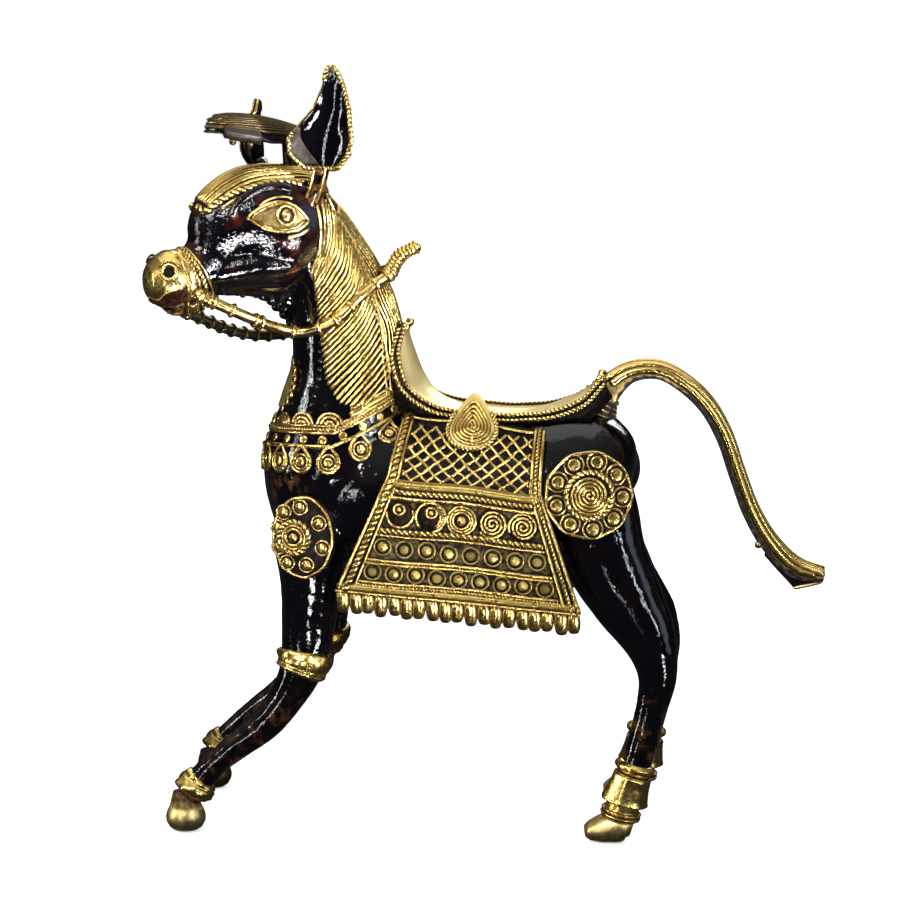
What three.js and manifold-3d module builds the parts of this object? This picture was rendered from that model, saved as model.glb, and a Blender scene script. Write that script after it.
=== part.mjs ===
// A dhokra horse, cast in one piece by the lost-wax method. It steps out to the left with its head
// turned to the near side. X runs from muzzle to tail, Y from the near side to the off side, Z up,
// and the hooves stand on z = 0. Millimetres.
import * as THREE from 'three';
import { mergeVertices } from 'three/addons/utils/BufferGeometryUtils.js';
import Module from 'manifold-3d';

// Driving dimensions
const HEAD_TURN = 32;
const POLL = [-37, 0, 0];
const FORE_SPREAD = 19.6;
const HIND_SPREAD = 18.6;
const SOLE_TRIM = 6;
const CLOTH_HALF_WIDTH = 22.6;
const CLOTH_THICKNESS = 2.2;
const CLOTH_SHOULDER_Z = 87.5;
const CLOTH_CREST_Z = 109.6;
const SEAT_THICKNESS = 5;
const RELIEF = 1.1;
const BODY_SIDES = 12;
const LEG_SIDES = 8;
const NEAR = -1;
const OFF = 1;

// Stations of the body: [x, y, z, half height across the path, half width along Y]
const TRUNK = [
  [-46.6, 0, 87, 7, 9], [-38, 0, 86, 16, 17], [-25, 0, 87, 20.5, 20], [-8, 0, 87.5, 20.2, 21],
  [10, 0, 87.5, 19.4, 20.5], [25, 0, 89.4, 19.4, 19.5], [35, 0, 92.4, 17.4, 17.5], [41.2, 0, 92.4, 12, 12],
  [44.6, 0, 91.6, 5, 6],
];
const NECK = [
  [-31, 0, 76, 16.5, 17.5], [-31.6, 0, 93, 19.6, 19.4], [-30.8, 0, 106, 17.6, 17], [-29.6, 0, 119, 15.6, 14.2],
  [-30.6, 0, 132, 14.2, 12.4], [-34, 0, 144, 11.8, 11], [-38, 0, 156, 8.2, 10], [-41.5, 0, 163, 5.6, 8],
];
// The head runs along its own axis, here straight ahead: [distance from the poll, z, half height, half width]
const HEAD = [
  [-1.6, 155.6, 8.8, 8.6], [4, 156.2, 13.4, 11.6], [11.5, 156.2, 14.6, 13], [18.4, 155.8, 14.6, 12.4],
  [24.2, 154, 12.8, 10.8], [28.8, 149.2, 9.2, 7.8], [33.2, 145.8, 7, 7], [36.8, 144.2, 6.7, 6.8],
  [40.2, 143.8, 7.3, 7.4], [43.8, 143.6, 6, 6.2], [46, 143.6, 3.6, 3.8], [46.8, 143.6, 1.2, 1.4],
];
const CHIN = [[30, 140.6, 2, 4.6], [34, 138.6, 3.4, 5.2], [39, 137.8, 3.3, 4.6], [42, 138.6, 1.8, 2.6]];
const THROAT = [[-2, 140, 6, 4], [8, 141, 4.4, 4.6], [18, 141.4, 3.4, 3.8], [28, 141.4, 2.4, 2.6]];
const FORELEG = [
  [-36.4, 9, 90, 7.4, 5.6], [-36.8, 12, 77, 10.4, 8.6], [-37, 13.2, 65, 8, 7.8], [-37.8, 14.4, 53, 6.9, 6.8],
  [-38.8, 15.8, 44.3, 6.1, 6.1], [-42.6, 17, 35.8, 4.8, 5], [-48.4, 18, 28.4, 4.3, 4.5],
  [-55, 18.8, 23, 3.8, 4], [-61.2, 19.3, 17.8, 3.4, 3.7], [-65.8, FORE_SPREAD, 12.8, 3.6, 3.8],
  [-68.8, FORE_SPREAD, 7.6, 3.2, 3.4],
];
const HINDLEG = [
  [31, 8, 97, 11, 8], [34.2, 10, 84, 12.6, 9.6], [38.4, 11.6, 72.5, 11, 9], [44.6, 13.2, 61.5, 9.2, 7.8],
  [50.2, 14.8, 52, 7, 6.2], [52.2, 16, 44, 5.2, 5], [51.3, 17, 36.5, 4.3, 4.3], [49.4, 17.8, 28.6, 4, 4],
  [47, 18.3, 20, 3.9, 3.9], [44.4, HIND_SPREAD, 11.6, 3.7, 3.7], [43, HIND_SPREAD, 6, 3.5, 3.5],
];
// The off hind leg bends a little more at the hock and stands a little further back
const OFF_HIND_SHIFT = [[8, 2.6], [20, 1.1], [48, -0.8], [62, -3]];
const TAIL = [
  [33, 2, 106, 7, 7], [36.8, 2, 112.2, 4, 5], [43.4, 2.5, 118, 2.5, 3.6], [50.6, 3, 118.8, 2.1, 3.5],
  [57.2, 3.5, 115.4, 2.1, 3.5], [63.2, 4, 109.6, 2.1, 3.5], [67.6, 4, 102, 2.1, 3.4], [71, 4, 92.4, 2.1, 3.3],
  [74.9, 4, 82.2, 2.2, 3.2], [80, 4, 73.8, 2.3, 3.4], [86.6, 4, 67.6, 2.2, 4], [94, 4, 65.8, 1, 4.4],
];

const wasm = await Module();
wasm.setup();
const V = (x, y, z) => new THREE.Vector3(x, y, z);
const mix = THREE.MathUtils.lerp;

// Six times the volume that a closed mesh holds, below zero where its faces look inwards
function volume(geometry) {
  const places = geometry.attributes.position;
  const corner = [0, 1, 2].map(() => V(0, 0, 0));
  let sum = 0;
  for (let k = 0; k < geometry.index.count; k += 3) {
    corner.forEach((point, j) => point.fromBufferAttribute(places, geometry.index.getX(k + j)));
    sum += corner[0].dot(corner[1].cross(corner[2]));
  }
  return sum;
}

// One closed solid from a three.js geometry
function solid(geometry) {
  const bare = geometry.index ? geometry : mergeVertices(geometry);
  bare.deleteAttribute('normal');
  bare.deleteAttribute('uv');
  const welded = mergeVertices(bare, 1e-4);
  const triVerts = new Uint32Array(welded.index.array);
  if (volume(welded) < 0) triVerts.reverse();
  const mesh = new wasm.Mesh({
    numProp: 3,
    vertProperties: new Float32Array(welded.attributes.position.array),
    triVerts,
  });
  mesh.merge();
  return new wasm.Manifold(mesh);
}

// A limb: an ellipse carried along a smooth path, bent out of a plain cylinder
function limb(stations, sides, stepsPerStation = 1, side = V(0, 1, 0)) {
  const path = new THREE.CatmullRomCurve3(stations.map(([x, y, z]) => V(x, y, z)));
  const sizes = new THREE.CatmullRomCurve3(stations.map(([, , , deep, wide]) => V(deep, wide, 0)));
  const steps = (stations.length - 1) * stepsPerStation;
  const geometry = new THREE.CylinderGeometry(1, 1, 1, sides, steps);
  const places = geometry.attributes.position;
  for (let i = 0; i < places.count; i += 1) {
    const t = Math.min(Math.max(0.5 - places.getY(i), 0), 1);
    const along = path.getTangent(t);
    const across = side.clone().addScaledVector(along, -side.dot(along)).normalize();
    const up = along.clone().cross(across);
    const size = sizes.getPoint(t);
    const point = path.getPoint(t);
    point.addScaledVector(across, places.getX(i) * size.y);
    point.addScaledVector(up, places.getZ(i) * size.x);
    places.setXYZ(i, point.x, point.y, point.z);
  }
  return solid(geometry);
}

// A bent plate: a thin box whose corners follow point(a, b, depth), a and b from 0 to 1
function plate(columns, rows, point) {
  const geometry = new THREE.BoxGeometry(1, 1, 1, columns, rows, 1);
  const places = geometry.attributes.position;
  for (let i = 0; i < places.count; i += 1) {
    const p = point(places.getX(i) + 0.5, places.getY(i) + 0.5, places.getZ(i) + 0.5);
    places.setXYZ(i, p.x, p.y, p.z);
  }
  return solid(geometry);
}

// A round stick of wax laid through points: its section is extruded along the path
function wire(points, radius, steps, sides = 5) {
  const corners = Array.from({ length: sides }, (_, k) => (k / sides) * Math.PI * 2);
  const section = new THREE.Shape(corners.map((turn) => new THREE.Vector2(
    Math.cos(turn) * radius, Math.sin(turn) * radius)));
  const extrudePath = new THREE.CatmullRomCurve3(points);
  return solid(new THREE.ExtrudeGeometry(section, { steps, bevelEnabled: false, extrudePath }));
}

// A closed ring of wax: a torus whose points follow point(turn, out, up)
function ring(radius, steps, point, sides = 5) {
  const geometry = new THREE.TorusGeometry(10, radius, sides, steps);
  const places = geometry.attributes.position;
  for (let i = 0; i < places.count; i += 1) {
    const turn = Math.atan2(places.getY(i), places.getX(i));
    const p = point(turn, Math.hypot(places.getX(i), places.getY(i)) - 10, places.getZ(i));
    places.setXYZ(i, p.x, p.y, p.z);
  }
  return solid(geometry);
}

// Something turned on a lathe, its axis stood along a direction at a place
function turned(profile, sides, place, axis) {
  const geometry = new THREE.LatheGeometry(profile.map(([r, h]) => new THREE.Vector2(r, h)), sides);
  geometry.applyQuaternion(new THREE.Quaternion().setFromUnitVectors(V(0, 1, 0), axis.clone().normalize()));
  geometry.translate(place.x, place.y, place.z);
  return solid(geometry);
}

function disc(place, axis, radius, proud, sides = 6, buried = 1.2) {
  return turned([[0, -buried], [radius, -buried], [radius * 0.86, proud], [0, proud]], sides, place, axis);
}

const pieces = [];

// Values read off a table [[key, value, ...], ...] with straight runs between its rows
function table(rows, key) {
  let k = 0;
  while (k < rows.length - 2 && rows[k + 1][0] < key) k += 1;
  const share = THREE.MathUtils.clamp((key - rows[k][0]) / (rows[k + 1][0] - rows[k][0]), 0, 1);
  return rows[k].map((value, column) => mix(value, rows[k + 1][column], share));
}

// Trunk, neck, legs and tail
pieces.push(limb(TRUNK, BODY_SIDES), limb(NECK, BODY_SIDES), limb(TAIL, 6));

// Cast bands round a leg: [station number, half length in stations, how far proud]
const FORE_BANDS = [[4, 0.24, 0.9], [9.15, 0.3, 1.6]];
const HIND_BANDS = [[8.1, 0.14, 1.3], [8.7, 0.27, 1.7], [9.75, 0.24, 1.5]];
const BAND_STEP = 0.02;
function banded(stations, bands, hand) {
  const places = new THREE.CatmullRomCurve3(stations.map(([x, y, z]) => V(x, y * hand, z)));
  const sizes = new THREE.CatmullRomCurve3(stations.map(([, , , deep, wide]) => V(deep, wide, 0)));
  const last = stations.length - 1;
  const rows = stations.map((_, k) => [k, 0]);
  for (const [middle, half, proud] of bands) {
    const clear = rows.filter(([k]) => Math.abs(k - middle) > half + 2 * BAND_STEP);
    rows.splice(0, rows.length, ...clear);
    rows.push([middle - half - BAND_STEP, 0], [middle - half, proud]);
    rows.push([middle + half, proud], [middle + half + BAND_STEP, 0]);
  }
  rows.sort((one, two) => one[0] - two[0]);
  return rows.map(([k, proud]) => {
    const p = places.getPoint(k / last);
    const size = sizes.getPoint(k / last);
    return [p.x, p.y, p.z, size.x + proud, size.y + proud];
  });
}
const offHind = ([x, ...rest]) => [x + table(OFF_HIND_SHIFT, rest[1])[1], ...rest];
const HIND = { [NEAR]: HINDLEG, [OFF]: HINDLEG.map(offHind) };
for (const hand of [NEAR, OFF]) {
  pieces.push(limb(banded(FORELEG, FORE_BANDS, hand), LEG_SIDES));
  pieces.push(limb(banded(HIND[hand], HIND_BANDS, hand), LEG_SIDES));
}

// Hooves: a ball in front, a shoe with its toe forward behind
const FORE_HOOF = [[0, -1], [3.2, -1], [5.1, 4.4], [4, 8.4], [0, 10.2]];
const HIND_HOOF = [[46, 3.6, 3, 3.4], [43, 3.6, 4.2, 4.6], [38, 2.8, 4, 4.4], [34.4, 2.2, 2.4, 2.8]];
for (const hand of [NEAR, OFF]) {
  pieces.push(turned(FORE_HOOF, 8, V(-69.5, FORE_SPREAD * hand, 0), V(0, 0, 1)));
  const shift = hand === OFF ? OFF_HIND_SHIFT[0][1] : 0;
  pieces.push(limb(HIND_HOOF.map(([x, ...rest]) => [x + shift, HIND_SPREAD * hand, ...rest]), LEG_SIDES));
}

// The head, in its own frame: distance ahead of the poll, off-side distance, height
const headAxis = THREE.MathUtils.degToRad(HEAD_TURN);
const onHead = (ahead, aside, z) => V(-ahead, aside, z).applyAxisAngle(V(0, 0, 1), headAxis).add(V(...POLL));
const aside = onHead(0, 1, 0).sub(V(...POLL));
const headStations = (rows) => rows.map(([ahead, z, deep, wide]) => {
  const p = onHead(ahead, 0, z);
  return [p.x, p.y, p.z, deep, wide];
});
pieces.push(limb(headStations(HEAD), 12, 1, aside));
pieces.push(limb(headStations(CHIN), 6, 1, aside), limb(headStations(THROAT), 6, 1, aside));

// A place on the head's skin, turn counted from the crown towards the off side
function headSkin(ahead, turn, proud = 0) {
  const [, z, deep, wide] = table(HEAD, ahead);
  return onHead(ahead, Math.sin(turn) * (wide + proud), z + Math.cos(turn) * (deep + proud));
}
const NOSEBAND_AHEAD = 36.6;
pieces.push(ring(1.5, 10, (turn, out, along) =>
  headSkin(NOSEBAND_AHEAD + Math.cos(turn) * 1.4 + along, turn, 0.5 + out), 4));

// Eyes: an almond with a domed pupil. Nostrils: a raised ring with a dimple.
const EYE = { ahead: 14, z: 160, halfLength: 8.6, halfHeight: 3.4 };
for (const hand of [NEAR, OFF]) {
  pieces.push(plate(4, 2, (a, b, depth) => {
    const ahead = EYE.ahead + mix(-EYE.halfLength, EYE.halfLength, a);
    const z = EYE.z + (b - 0.5) * 2 * (0.2 + EYE.halfHeight * Math.sin(a * Math.PI));
    const [, middle, deep, wide] = table(HEAD, ahead);
    const turn = Math.acos(THREE.MathUtils.clamp((z - middle) / deep, -1, 1));
    return onHead(ahead, hand * (Math.sin(turn) * wide + mix(-1.5, RELIEF, depth)), z);
  }));
  const sideways = aside.clone().multiplyScalar(hand);
  pieces.push(disc(headSkin(EYE.ahead - 0.6, hand * 1.27, 0.4), sideways, 2.4, 1.4));
  pieces.push(disc(headSkin(42.8, hand * 1.1, -0.2), onHead(0.75, hand, 0.35).sub(V(...POLL)), 2.2, 0.8));
}

// Ears: a scooped leaf on a stalk, [height share, half width, bend to the side]
const EAR_LEAF = [[0, 3.4, 0], [0.17, 7.5, 0.9], [0.3, 8.1, 0.9], [0.42, 6.7, 0.3], [0.6, 4.5, -0.8], [0.8, 2.7, -0.2],
  [1, 1, 1.2]];
function ear(foot, height, lean, facing, scale) {
  const outward = facing.clone().normalize();
  const across = outward.clone().cross(V(0, 0, 1)).normalize();
  const place = (share, sideways, deep) => foot.clone()
    .add(V(0, 0, share * height))
    .addScaledVector(lean, share)
    .addScaledVector(across, sideways)
    .addScaledVector(outward, deep);
  return plate(2, 6, (a, b, depth) => {
    const [, half, bend] = table(EAR_LEAF, b);
    const sideways = (a - 0.5) * 2;
    const curl = 3.4 * scale * sideways * sideways * Math.sin(Math.min(b + 0.15, 1) * Math.PI);
    return place(b, (sideways * half + bend) * scale, curl + mix(-0.9, 0.7, depth));
  });
}
const EAR_Z = 170.5;
pieces.push(ear(V(-33.2, -12, EAR_Z), 26.5, V(3.4, 0, 0), V(-0.1, -1, 0.1), 1));
pieces.push(limb([[-36.6, -9.5, 162, 2.6, 3.2], [-34.6, -11, 167, 1.9, 2.6], [-33.4, -12, 171.6, 1.8, 3.6]], 6));
pieces.push(ear(V(-52.8, 9, EAR_Z - 1), 17, V(-0.6, 0, 0), V(-1, 0.12, 0.1), 0.78));
pieces.push(limb([[-46.6, 4.6, 160, 3, 3.4], [-50.6, 7.8, 167, 1.9, 2.5], [-52.8, 9, 171, 1.5, 2.8]], 6));

// The forelock: a leaf of combed threads that stands forward over the brow, on its own stem
const PLUME_LEAF = [[0, 2.6], [0.15, 4.6], [0.4, 6], [0.7, 5.4], [0.88, 3.6], [1, 1.6]];
const PLUME_LENGTH = 27.5;
const PLUME_Z = 178.6;
const PLUME_ROLL = 0.55;
pieces.push(plate(5, 2, (a, b, depth) => {
  const [, half] = table(PLUME_LEAF, a);
  const reach = 3 + a * PLUME_LENGTH;
  const sideways = (b - 0.5) * 2 * half;
  const lift = PLUME_Z + 2.6 * Math.sin(a * 2.2) + 1.4 * a;
  const camber = -0.03 * sideways * sideways + mix(-0.8, 0.8, depth);
  return onHead(reach, sideways * Math.cos(PLUME_ROLL) - camber * Math.sin(PLUME_ROLL),
    lift + sideways * Math.sin(PLUME_ROLL) + camber * Math.cos(PLUME_ROLL));
}));
pieces.push(limb([[-42.4, -3, 166, 3, 3.4], [-43, -3.2, 172, 1.9, 2.6], [-43, -3.4, 179.4, 2.2, 3.4]], 6));

// Reins: from the noseband back along both sides of the neck, tied over its crest
const NEAR_REIN = [[-62.8, -24.5, 140.2], [-56, -22.5, 136.8], [-49.9, -19, 133.5], [-44.2, -13.6, 130.6],
  [-39.8, -11.6, 129.5], [-34.3, -12.7, 130.9], [-29.9, -12.9, 133.2], [-24.9, -10.6, 138],
  [-21, -6, 141.4], [-17.8, -4, 143.6], [-15, -3, 148.2], [-10.1, -1.5, 150.9]];
const OFF_REIN = [[-68.8, -13, 134.4], [-64.1, -8, 131.5], [-59.7, -2, 128.4], [-54.6, 4, 126.3],
  [-48.6, 9.2, 125.6], [-41, 13.2, 127], [-33, 14, 131], [-26, 12.6, 137.4], [-20.6, 8, 142.2], [-17, 1, 144.6]];
const REIN_RADIUS = 1.25;
for (const route of [NEAR_REIN, OFF_REIN]) {
  pieces.push(wire(route.map((p) => V(...p)), REIN_RADIUS, 10, 5));
}
pieces.push(wire([headSkin(36, -2, 0.4), V(-66.6, -21, 136.6), V(...OFF_REIN[0])], REIN_RADIUS, 2, 5));

// A place on the neck's skin, turn counted from the front towards the off side
function neckSkin(turn, z, proud = 0) {
  const [, x, , deep, wide] = table(NECK.map(([px, py, pz, d, w]) => [pz, px, py, d, w]), z);
  return V(x - Math.cos(turn) * (deep + proud), Math.sin(turn) * (wide + proud), z);
}

// Necklace: two rings round the foot of the neck, with pendants hung below
const necklaceZ = (turn) => 103.4 + 8 * Math.max(0, -Math.cos(turn)) + 0.6 * (1 - Math.cos(turn));
pieces.push(ring(2.2, BODY_SIDES, (turn, out, up) => neckSkin(turn, necklaceZ(turn) - 2.2 + up, out - 0.8), 4));
const PENDANTS = { [NEAR]: [0.35, 0.68, 1.03, 1.43, 1.87, 2.38], [OFF]: [0.6, 1.7] };
for (const hand of [NEAR, OFF]) {
  for (const turn of PENDANTS[hand]) {
    const z = necklaceZ(turn) - 8.6;
    const place = neckSkin(turn * hand, z, -0.2);
    const out = neckSkin(turn * hand, z, 3).sub(place);
    pieces.push(disc(place, out, 3, 1.3, 5));
  }
}

// Mane: combed locks that run from the crest down and forward over the neck
const LOCKS = { [NEAR]: 4, [OFF]: 2 };
for (const hand of [NEAR, OFF]) {
  for (let lock = 0; lock < LOCKS[hand]; lock += 1) {
    const crest = 155 - lock * (39 / LOCKS[hand]);
    const route = [2.5, 2.15, 1.8, 1.5].map((turn, k) => neckSkin(turn * hand, crest - k * (3 + lock * 0.7), 0.1));
    pieces.push(wire(route, 1.5, 3, 4));
  }
}
pieces.push(wire([161, 154, 145, 136, 127].map((z) => neckSkin(Math.PI, z, -0.8)), 2.2, 4, 4));

// Forehead: threads combed from the poll over the brow, and the heavy brow line under them
for (const turn of [-0.8, 0, 0.8]) {
  pieces.push(wire([6, 13, 19, 24, 28.5].map((ahead) => headSkin(ahead, turn * (1 - ahead * 0.008), 0.2)), 1.3, 4, 4));
}

// Saddle cloth: a slab that follows the flank, its borders and bands standing proud
const CLOTH_EDGES = [[0, -13.4, 108.4, 23, 105.4], [0.32, -16.2, 94.6, 22.6, 91], [1, -29.6, 65, 33, 60.2]];
const flank = (z) => {
  const rise = THREE.MathUtils.clamp((z - CLOTH_SHOULDER_Z) / (CLOTH_CREST_Z - CLOTH_SHOULDER_Z), 0, 1);
  return CLOTH_HALF_WIDTH * Math.sqrt(1 - rise * rise);
};
function clothPlace(u, v, proud, hand) {
  const [, xFront, zFront, xRear, zRear] = table(CLOTH_EDGES, v);
  const z = mix(zFront, zRear, u);
  return V(mix(xFront, xRear, u), hand * (flank(z) + proud), z);
}
function clothNormal(u, v, hand) {
  const here = clothPlace(u, v, 0, hand);
  const back = clothPlace(u + 0.02, v, 0, hand).sub(here);
  const down = clothPlace(u, v + 0.02, 0, hand).sub(here);
  const normal = back.cross(down).normalize();
  return normal.y * hand < 0 ? normal.negate() : normal;
}
const BORDER = 0.075;
const across = [0, BORDER, BORDER + 0.02, 1 - BORDER - 0.02, 1 - BORDER, 1];
const BANDS = { [NEAR]: [[0.345, 0.39], [0.61, 0.655], [0.915, 1]], [OFF]: [[0.915, 1]] };
for (const hand of [NEAR, OFF]) {
  const edges = BANDS[hand].flatMap(([from, to]) => [from - 0.01, from, to, to + 0.01]).slice(0, -1);
  const down = [...(hand === NEAR ? [0, 0.14] : [0, 0.14, 0.28, 0.42, 0.6]), ...edges];
  const inBand = (v) => BANDS[hand].some(([from, to]) => v >= from && v <= to);
  pieces.push(plate(across.length - 1, down.length - 1, (a, b, depth) => {
    const u = across[Math.round(a * (across.length - 1))];
    const v = down[Math.round(b * (down.length - 1))];
    const raised = u <= BORDER || u >= 1 - BORDER || inBand(v) ? RELIEF : 0;
    return clothPlace(u, v, depth > 0.5 ? raised : -CLOTH_THICKNESS, hand);
  }));
}

// Lattice of crossed threads, rows of discs and the fringe of pellets
function latticeThread(u0, v0, u1, v1, hand) {
  const route = [0, 0.5, 1].map((share) => clothPlace(mix(u0, u1, share), mix(v0, v1, share), 0, hand));
  return wire(route, 0.8, 2, 4);
}
for (let k = 0; k < 3; k += 1) {
  const u = 0.06 + k * 0.29;
  pieces.push(latticeThread(u, 0.02, u + 0.25, 0.345, NEAR), latticeThread(u + 0.25, 0.02, u, 0.345, NEAR));
}
const ROWS = [{ v: 0.5, count: 5, radius: 3.6, sides: 8, hands: [NEAR] },
  { v: 0.71, count: 8, radius: 2.1, sides: 5, hands: [NEAR] },
  { v: 0.86, count: 9, radius: 2.1, sides: 5, hands: [NEAR] }];
for (const row of ROWS) {
  for (const hand of row.hands) {
    for (let k = 0; k < row.count; k += 1) {
      const u = mix(BORDER, 1 - BORDER, (k + 0.5) / row.count);
      pieces.push(disc(clothPlace(u, row.v, 0, hand), clothNormal(u, row.v, hand), row.radius, RELIEF, row.sides, 0.9));
    }
  }
}
const PELLETS = { [NEAR]: 18, [OFF]: 6 };
for (const hand of [NEAR, OFF]) {
  for (let k = 0; k < PELLETS[hand]; k += 1) {
    const top = clothPlace((k + 0.5) / PELLETS[hand], 1, -0.6, hand);
    pieces.push(turned([[0, -6], [2, -3], [0, 1.4]], 4, top, V(0, 0, 1)));
  }
}

// Seat: a strip that dips along the back, up the neck in front and over the dock behind.
// [x, z, half width, how far its sides hang]
const SEAT = [[-13.4, 130.2, 4.6, 1.2], [-11.8, 124.6, 8, 4.2], [-9.4, 118, 9, 4.6], [-5.6, 112.6, 9, 2.6],
  [-0.4, 109.6, 8.6, 1], [7.6, 108.2, 8.2, 0.2], [16, 108, 8, 0.2], [23.6, 110.2, 7.8, 1.6],
  [30.4, 113.4, 7.2, 2.2], [36.6, 117.4, 4, 0.8]];
const seatLine = new THREE.CatmullRomCurve3(SEAT.map(([x, z]) => V(x, 0, z)));
const seatSize = new THREE.CatmullRomCurve3(SEAT.map(([, , half, sag]) => V(half, sag, 0)));
function seatPlace(a, side, proud) {
  const along = seatLine.getTangent(a);
  const up = along.clone().cross(V(0, 1, 0));
  const { x: half, y: sag } = seatSize.getPoint(a);
  return seatLine.getPoint(a).addScaledVector(up, proud - sag * side * side).add(V(0, side * half, 0));
}
const seatRows = [-1, -0.8, 0, 0.8, 1];
pieces.push(plate(9, seatRows.length - 1, (a, b, depth) => {
  const side = seatRows[Math.round(b * (seatRows.length - 1))];
  const rim = Math.abs(side) > 0.9 ? RELIEF : 0;
  return seatPlace(a, side, depth > 0.5 ? rim : -SEAT_THICKNESS);
}));
pieces.push(disc(clothPlace(0.5, 0.03, 0.2, NEAR), clothNormal(0.5, 0.03, NEAR), 6.4, 1.5, 9, 3));

// Medallions on the shoulders and hips: a low dome with a ring of discs round a boss
function medallion(centre, axis, radius, count, boss, hand) {
  pieces.push(turned([[0, -3.4], [radius, -3.4], [radius, 0], [0, 1.4]], 10, centre, axis));
  pieces.push(disc(centre, axis, boss, 2.3, 7, 1));
  const first = V(0, 0, 1).addScaledVector(axis, -axis.z).normalize();
  for (let k = 0; hand === NEAR && k < count; k += 1) {
    const spoke = first.clone().applyAxisAngle(axis, (k / count) * Math.PI * 2);
    pieces.push(disc(centre.clone().addScaledVector(spoke, radius - 2.6), axis, 1.8, 1.5, 5, 1));
  }
}
for (const hand of [NEAR, OFF]) {
  medallion(V(34.6, 20.2 * hand, 90.6), V(0.22, hand, 0.1).normalize(), 11, 9, 5.4, hand);
  medallion(V(-38.2, 20.4 * hand, 78.6), V(-0.16, hand, -0.06).normalize(), 8.8, 8, 3.2, hand);
}

// Everything is one casting. The soles are ground flat where it stands, and the origin is put on the floor
// under the middle of its box.
let casting = pieces.reduce((sum, piece) => sum.add(piece));
const floor = new THREE.BoxGeometry(400, 400, 2 * SOLE_TRIM).translate(0, 0, -SOLE_TRIM);
casting = casting.subtract(solid(floor));

function geometryOf(manifold) {
  const mesh = manifold.getMesh();
  const geometry = new THREE.BufferGeometry();
  geometry.setAttribute('position', new THREE.BufferAttribute(new Float32Array(mesh.vertProperties), 3));
  geometry.setIndex(new THREE.BufferAttribute(new Uint32Array(mesh.triVerts), 1));
  return geometry;
}

const geometry = geometryOf(casting);
geometry.computeBoundingBox();
const middle = geometry.boundingBox.getCenter(V(0, 0, 0));
geometry.translate(-middle.x, -middle.y, 0);
const brass = new THREE.MeshStandardMaterial({ color: 0xc79a3c, roughness: 0.35, metalness: 1 });
const figure = new THREE.Mesh(geometry, brass);
figure.name = 'dhokra_horse';
const horse = new THREE.Group();
horse.add(figure);
export default horse;
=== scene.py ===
# %% [markdown]
# A dhokra horse in Blender
# Dhokra is lost-wax casting. The founder models a clay core, covers it with wax, and draws every
# ornament with wax threads: wires, ropes, spirals and pellets. The wax melts out and brass runs in.
# This lesson builds the horse in the same order: a skin, then threads that are pressed on to it.
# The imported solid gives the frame, so the horse stays at its size and place.

# %% Load the frame
import math

import bpy
import numpy as np
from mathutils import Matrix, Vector, noise
from mathutils.bvhtree import BVHTree


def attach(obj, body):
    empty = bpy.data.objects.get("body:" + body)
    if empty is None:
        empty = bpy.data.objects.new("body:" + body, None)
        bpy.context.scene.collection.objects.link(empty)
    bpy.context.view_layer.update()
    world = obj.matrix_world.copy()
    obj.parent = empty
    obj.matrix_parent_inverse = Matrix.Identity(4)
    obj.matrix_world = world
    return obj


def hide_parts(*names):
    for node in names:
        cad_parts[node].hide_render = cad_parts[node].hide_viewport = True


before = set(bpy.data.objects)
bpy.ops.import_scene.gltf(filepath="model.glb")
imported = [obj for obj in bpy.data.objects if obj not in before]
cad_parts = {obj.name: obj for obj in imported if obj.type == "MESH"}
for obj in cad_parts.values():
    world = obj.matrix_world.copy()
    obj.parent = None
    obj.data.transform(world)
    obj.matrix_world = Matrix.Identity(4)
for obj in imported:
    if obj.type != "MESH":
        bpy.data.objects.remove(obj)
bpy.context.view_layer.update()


def place_in_scene(name, data):
    """A new object that holds the data, linked so that it shows."""
    made = bpy.data.objects.new(name, data)
    bpy.context.collection.objects.link(made)
    return made


# %% [markdown]
# The camera stands where the photographer stood: 6 degrees round towards the tail and 11 degrees up,
# 850 mm away. A long lens keeps the legs parallel. The shift between the tables and the frame is
# the same for every part, because the solid is centred on its own box.

# %% Camera
SHIFT = np.array((-8.106, 1.888, 0.0))
MM = 0.001
AZIMUTH, ELEVATION = math.radians(6), math.radians(11)
DISTANCE, AIM_HEIGHT = 850, 95  # millimetres, as in the tables
aim = Vector((SHIFT[0] * MM, SHIFT[1] * MM, AIM_HEIGHT * MM))
back = Vector((math.sin(AZIMUTH) * math.cos(ELEVATION), -math.cos(AZIMUTH) * math.cos(ELEVATION),
               math.sin(ELEVATION)))
camera_data = bpy.data.cameras.new("camera")
camera_data.lens = 128.9
camera_data.sensor_width = 36
camera_data.clip_start, camera_data.clip_end = 0.01, 20
camera = place_in_scene("camera", camera_data)
camera.location = aim + back * (DISTANCE * MM)
camera.rotation_mode = "QUATERNION"
camera.rotation_quaternion = (-back).to_track_quat("-Z", "Y")
bpy.context.scene.camera = camera
print("camera at", [round(v, 3) for v in camera.location])

# %% [markdown]
# Polished metal shows its surroundings more than itself. So the room matters as much as the
# lamps: pale above, and dark at the sides and below. The brass then gets the bright and dark
# streaks that make it look like metal. The camera itself sees plain white behind the horse.

# %% Room and lamps
scene = bpy.context.scene
scene.view_settings.view_transform = "Standard"
world = bpy.data.worlds.new("room")
scene.world = world
world.use_nodes = True
room = world.node_tree
room.nodes.clear()


def put(tree, kind, **settings):
    """Add a node; settings that name an input fill it, the others are the node's own."""
    made = tree.nodes.new(kind)
    for name, value in settings.items():
        if hasattr(made, name):
            setattr(made, name, value)
        else:
            made.inputs[name.replace("_", " ")].default_value = value
    return made


def join(tree, source, target):
    tree.links.new(source, target)


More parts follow.
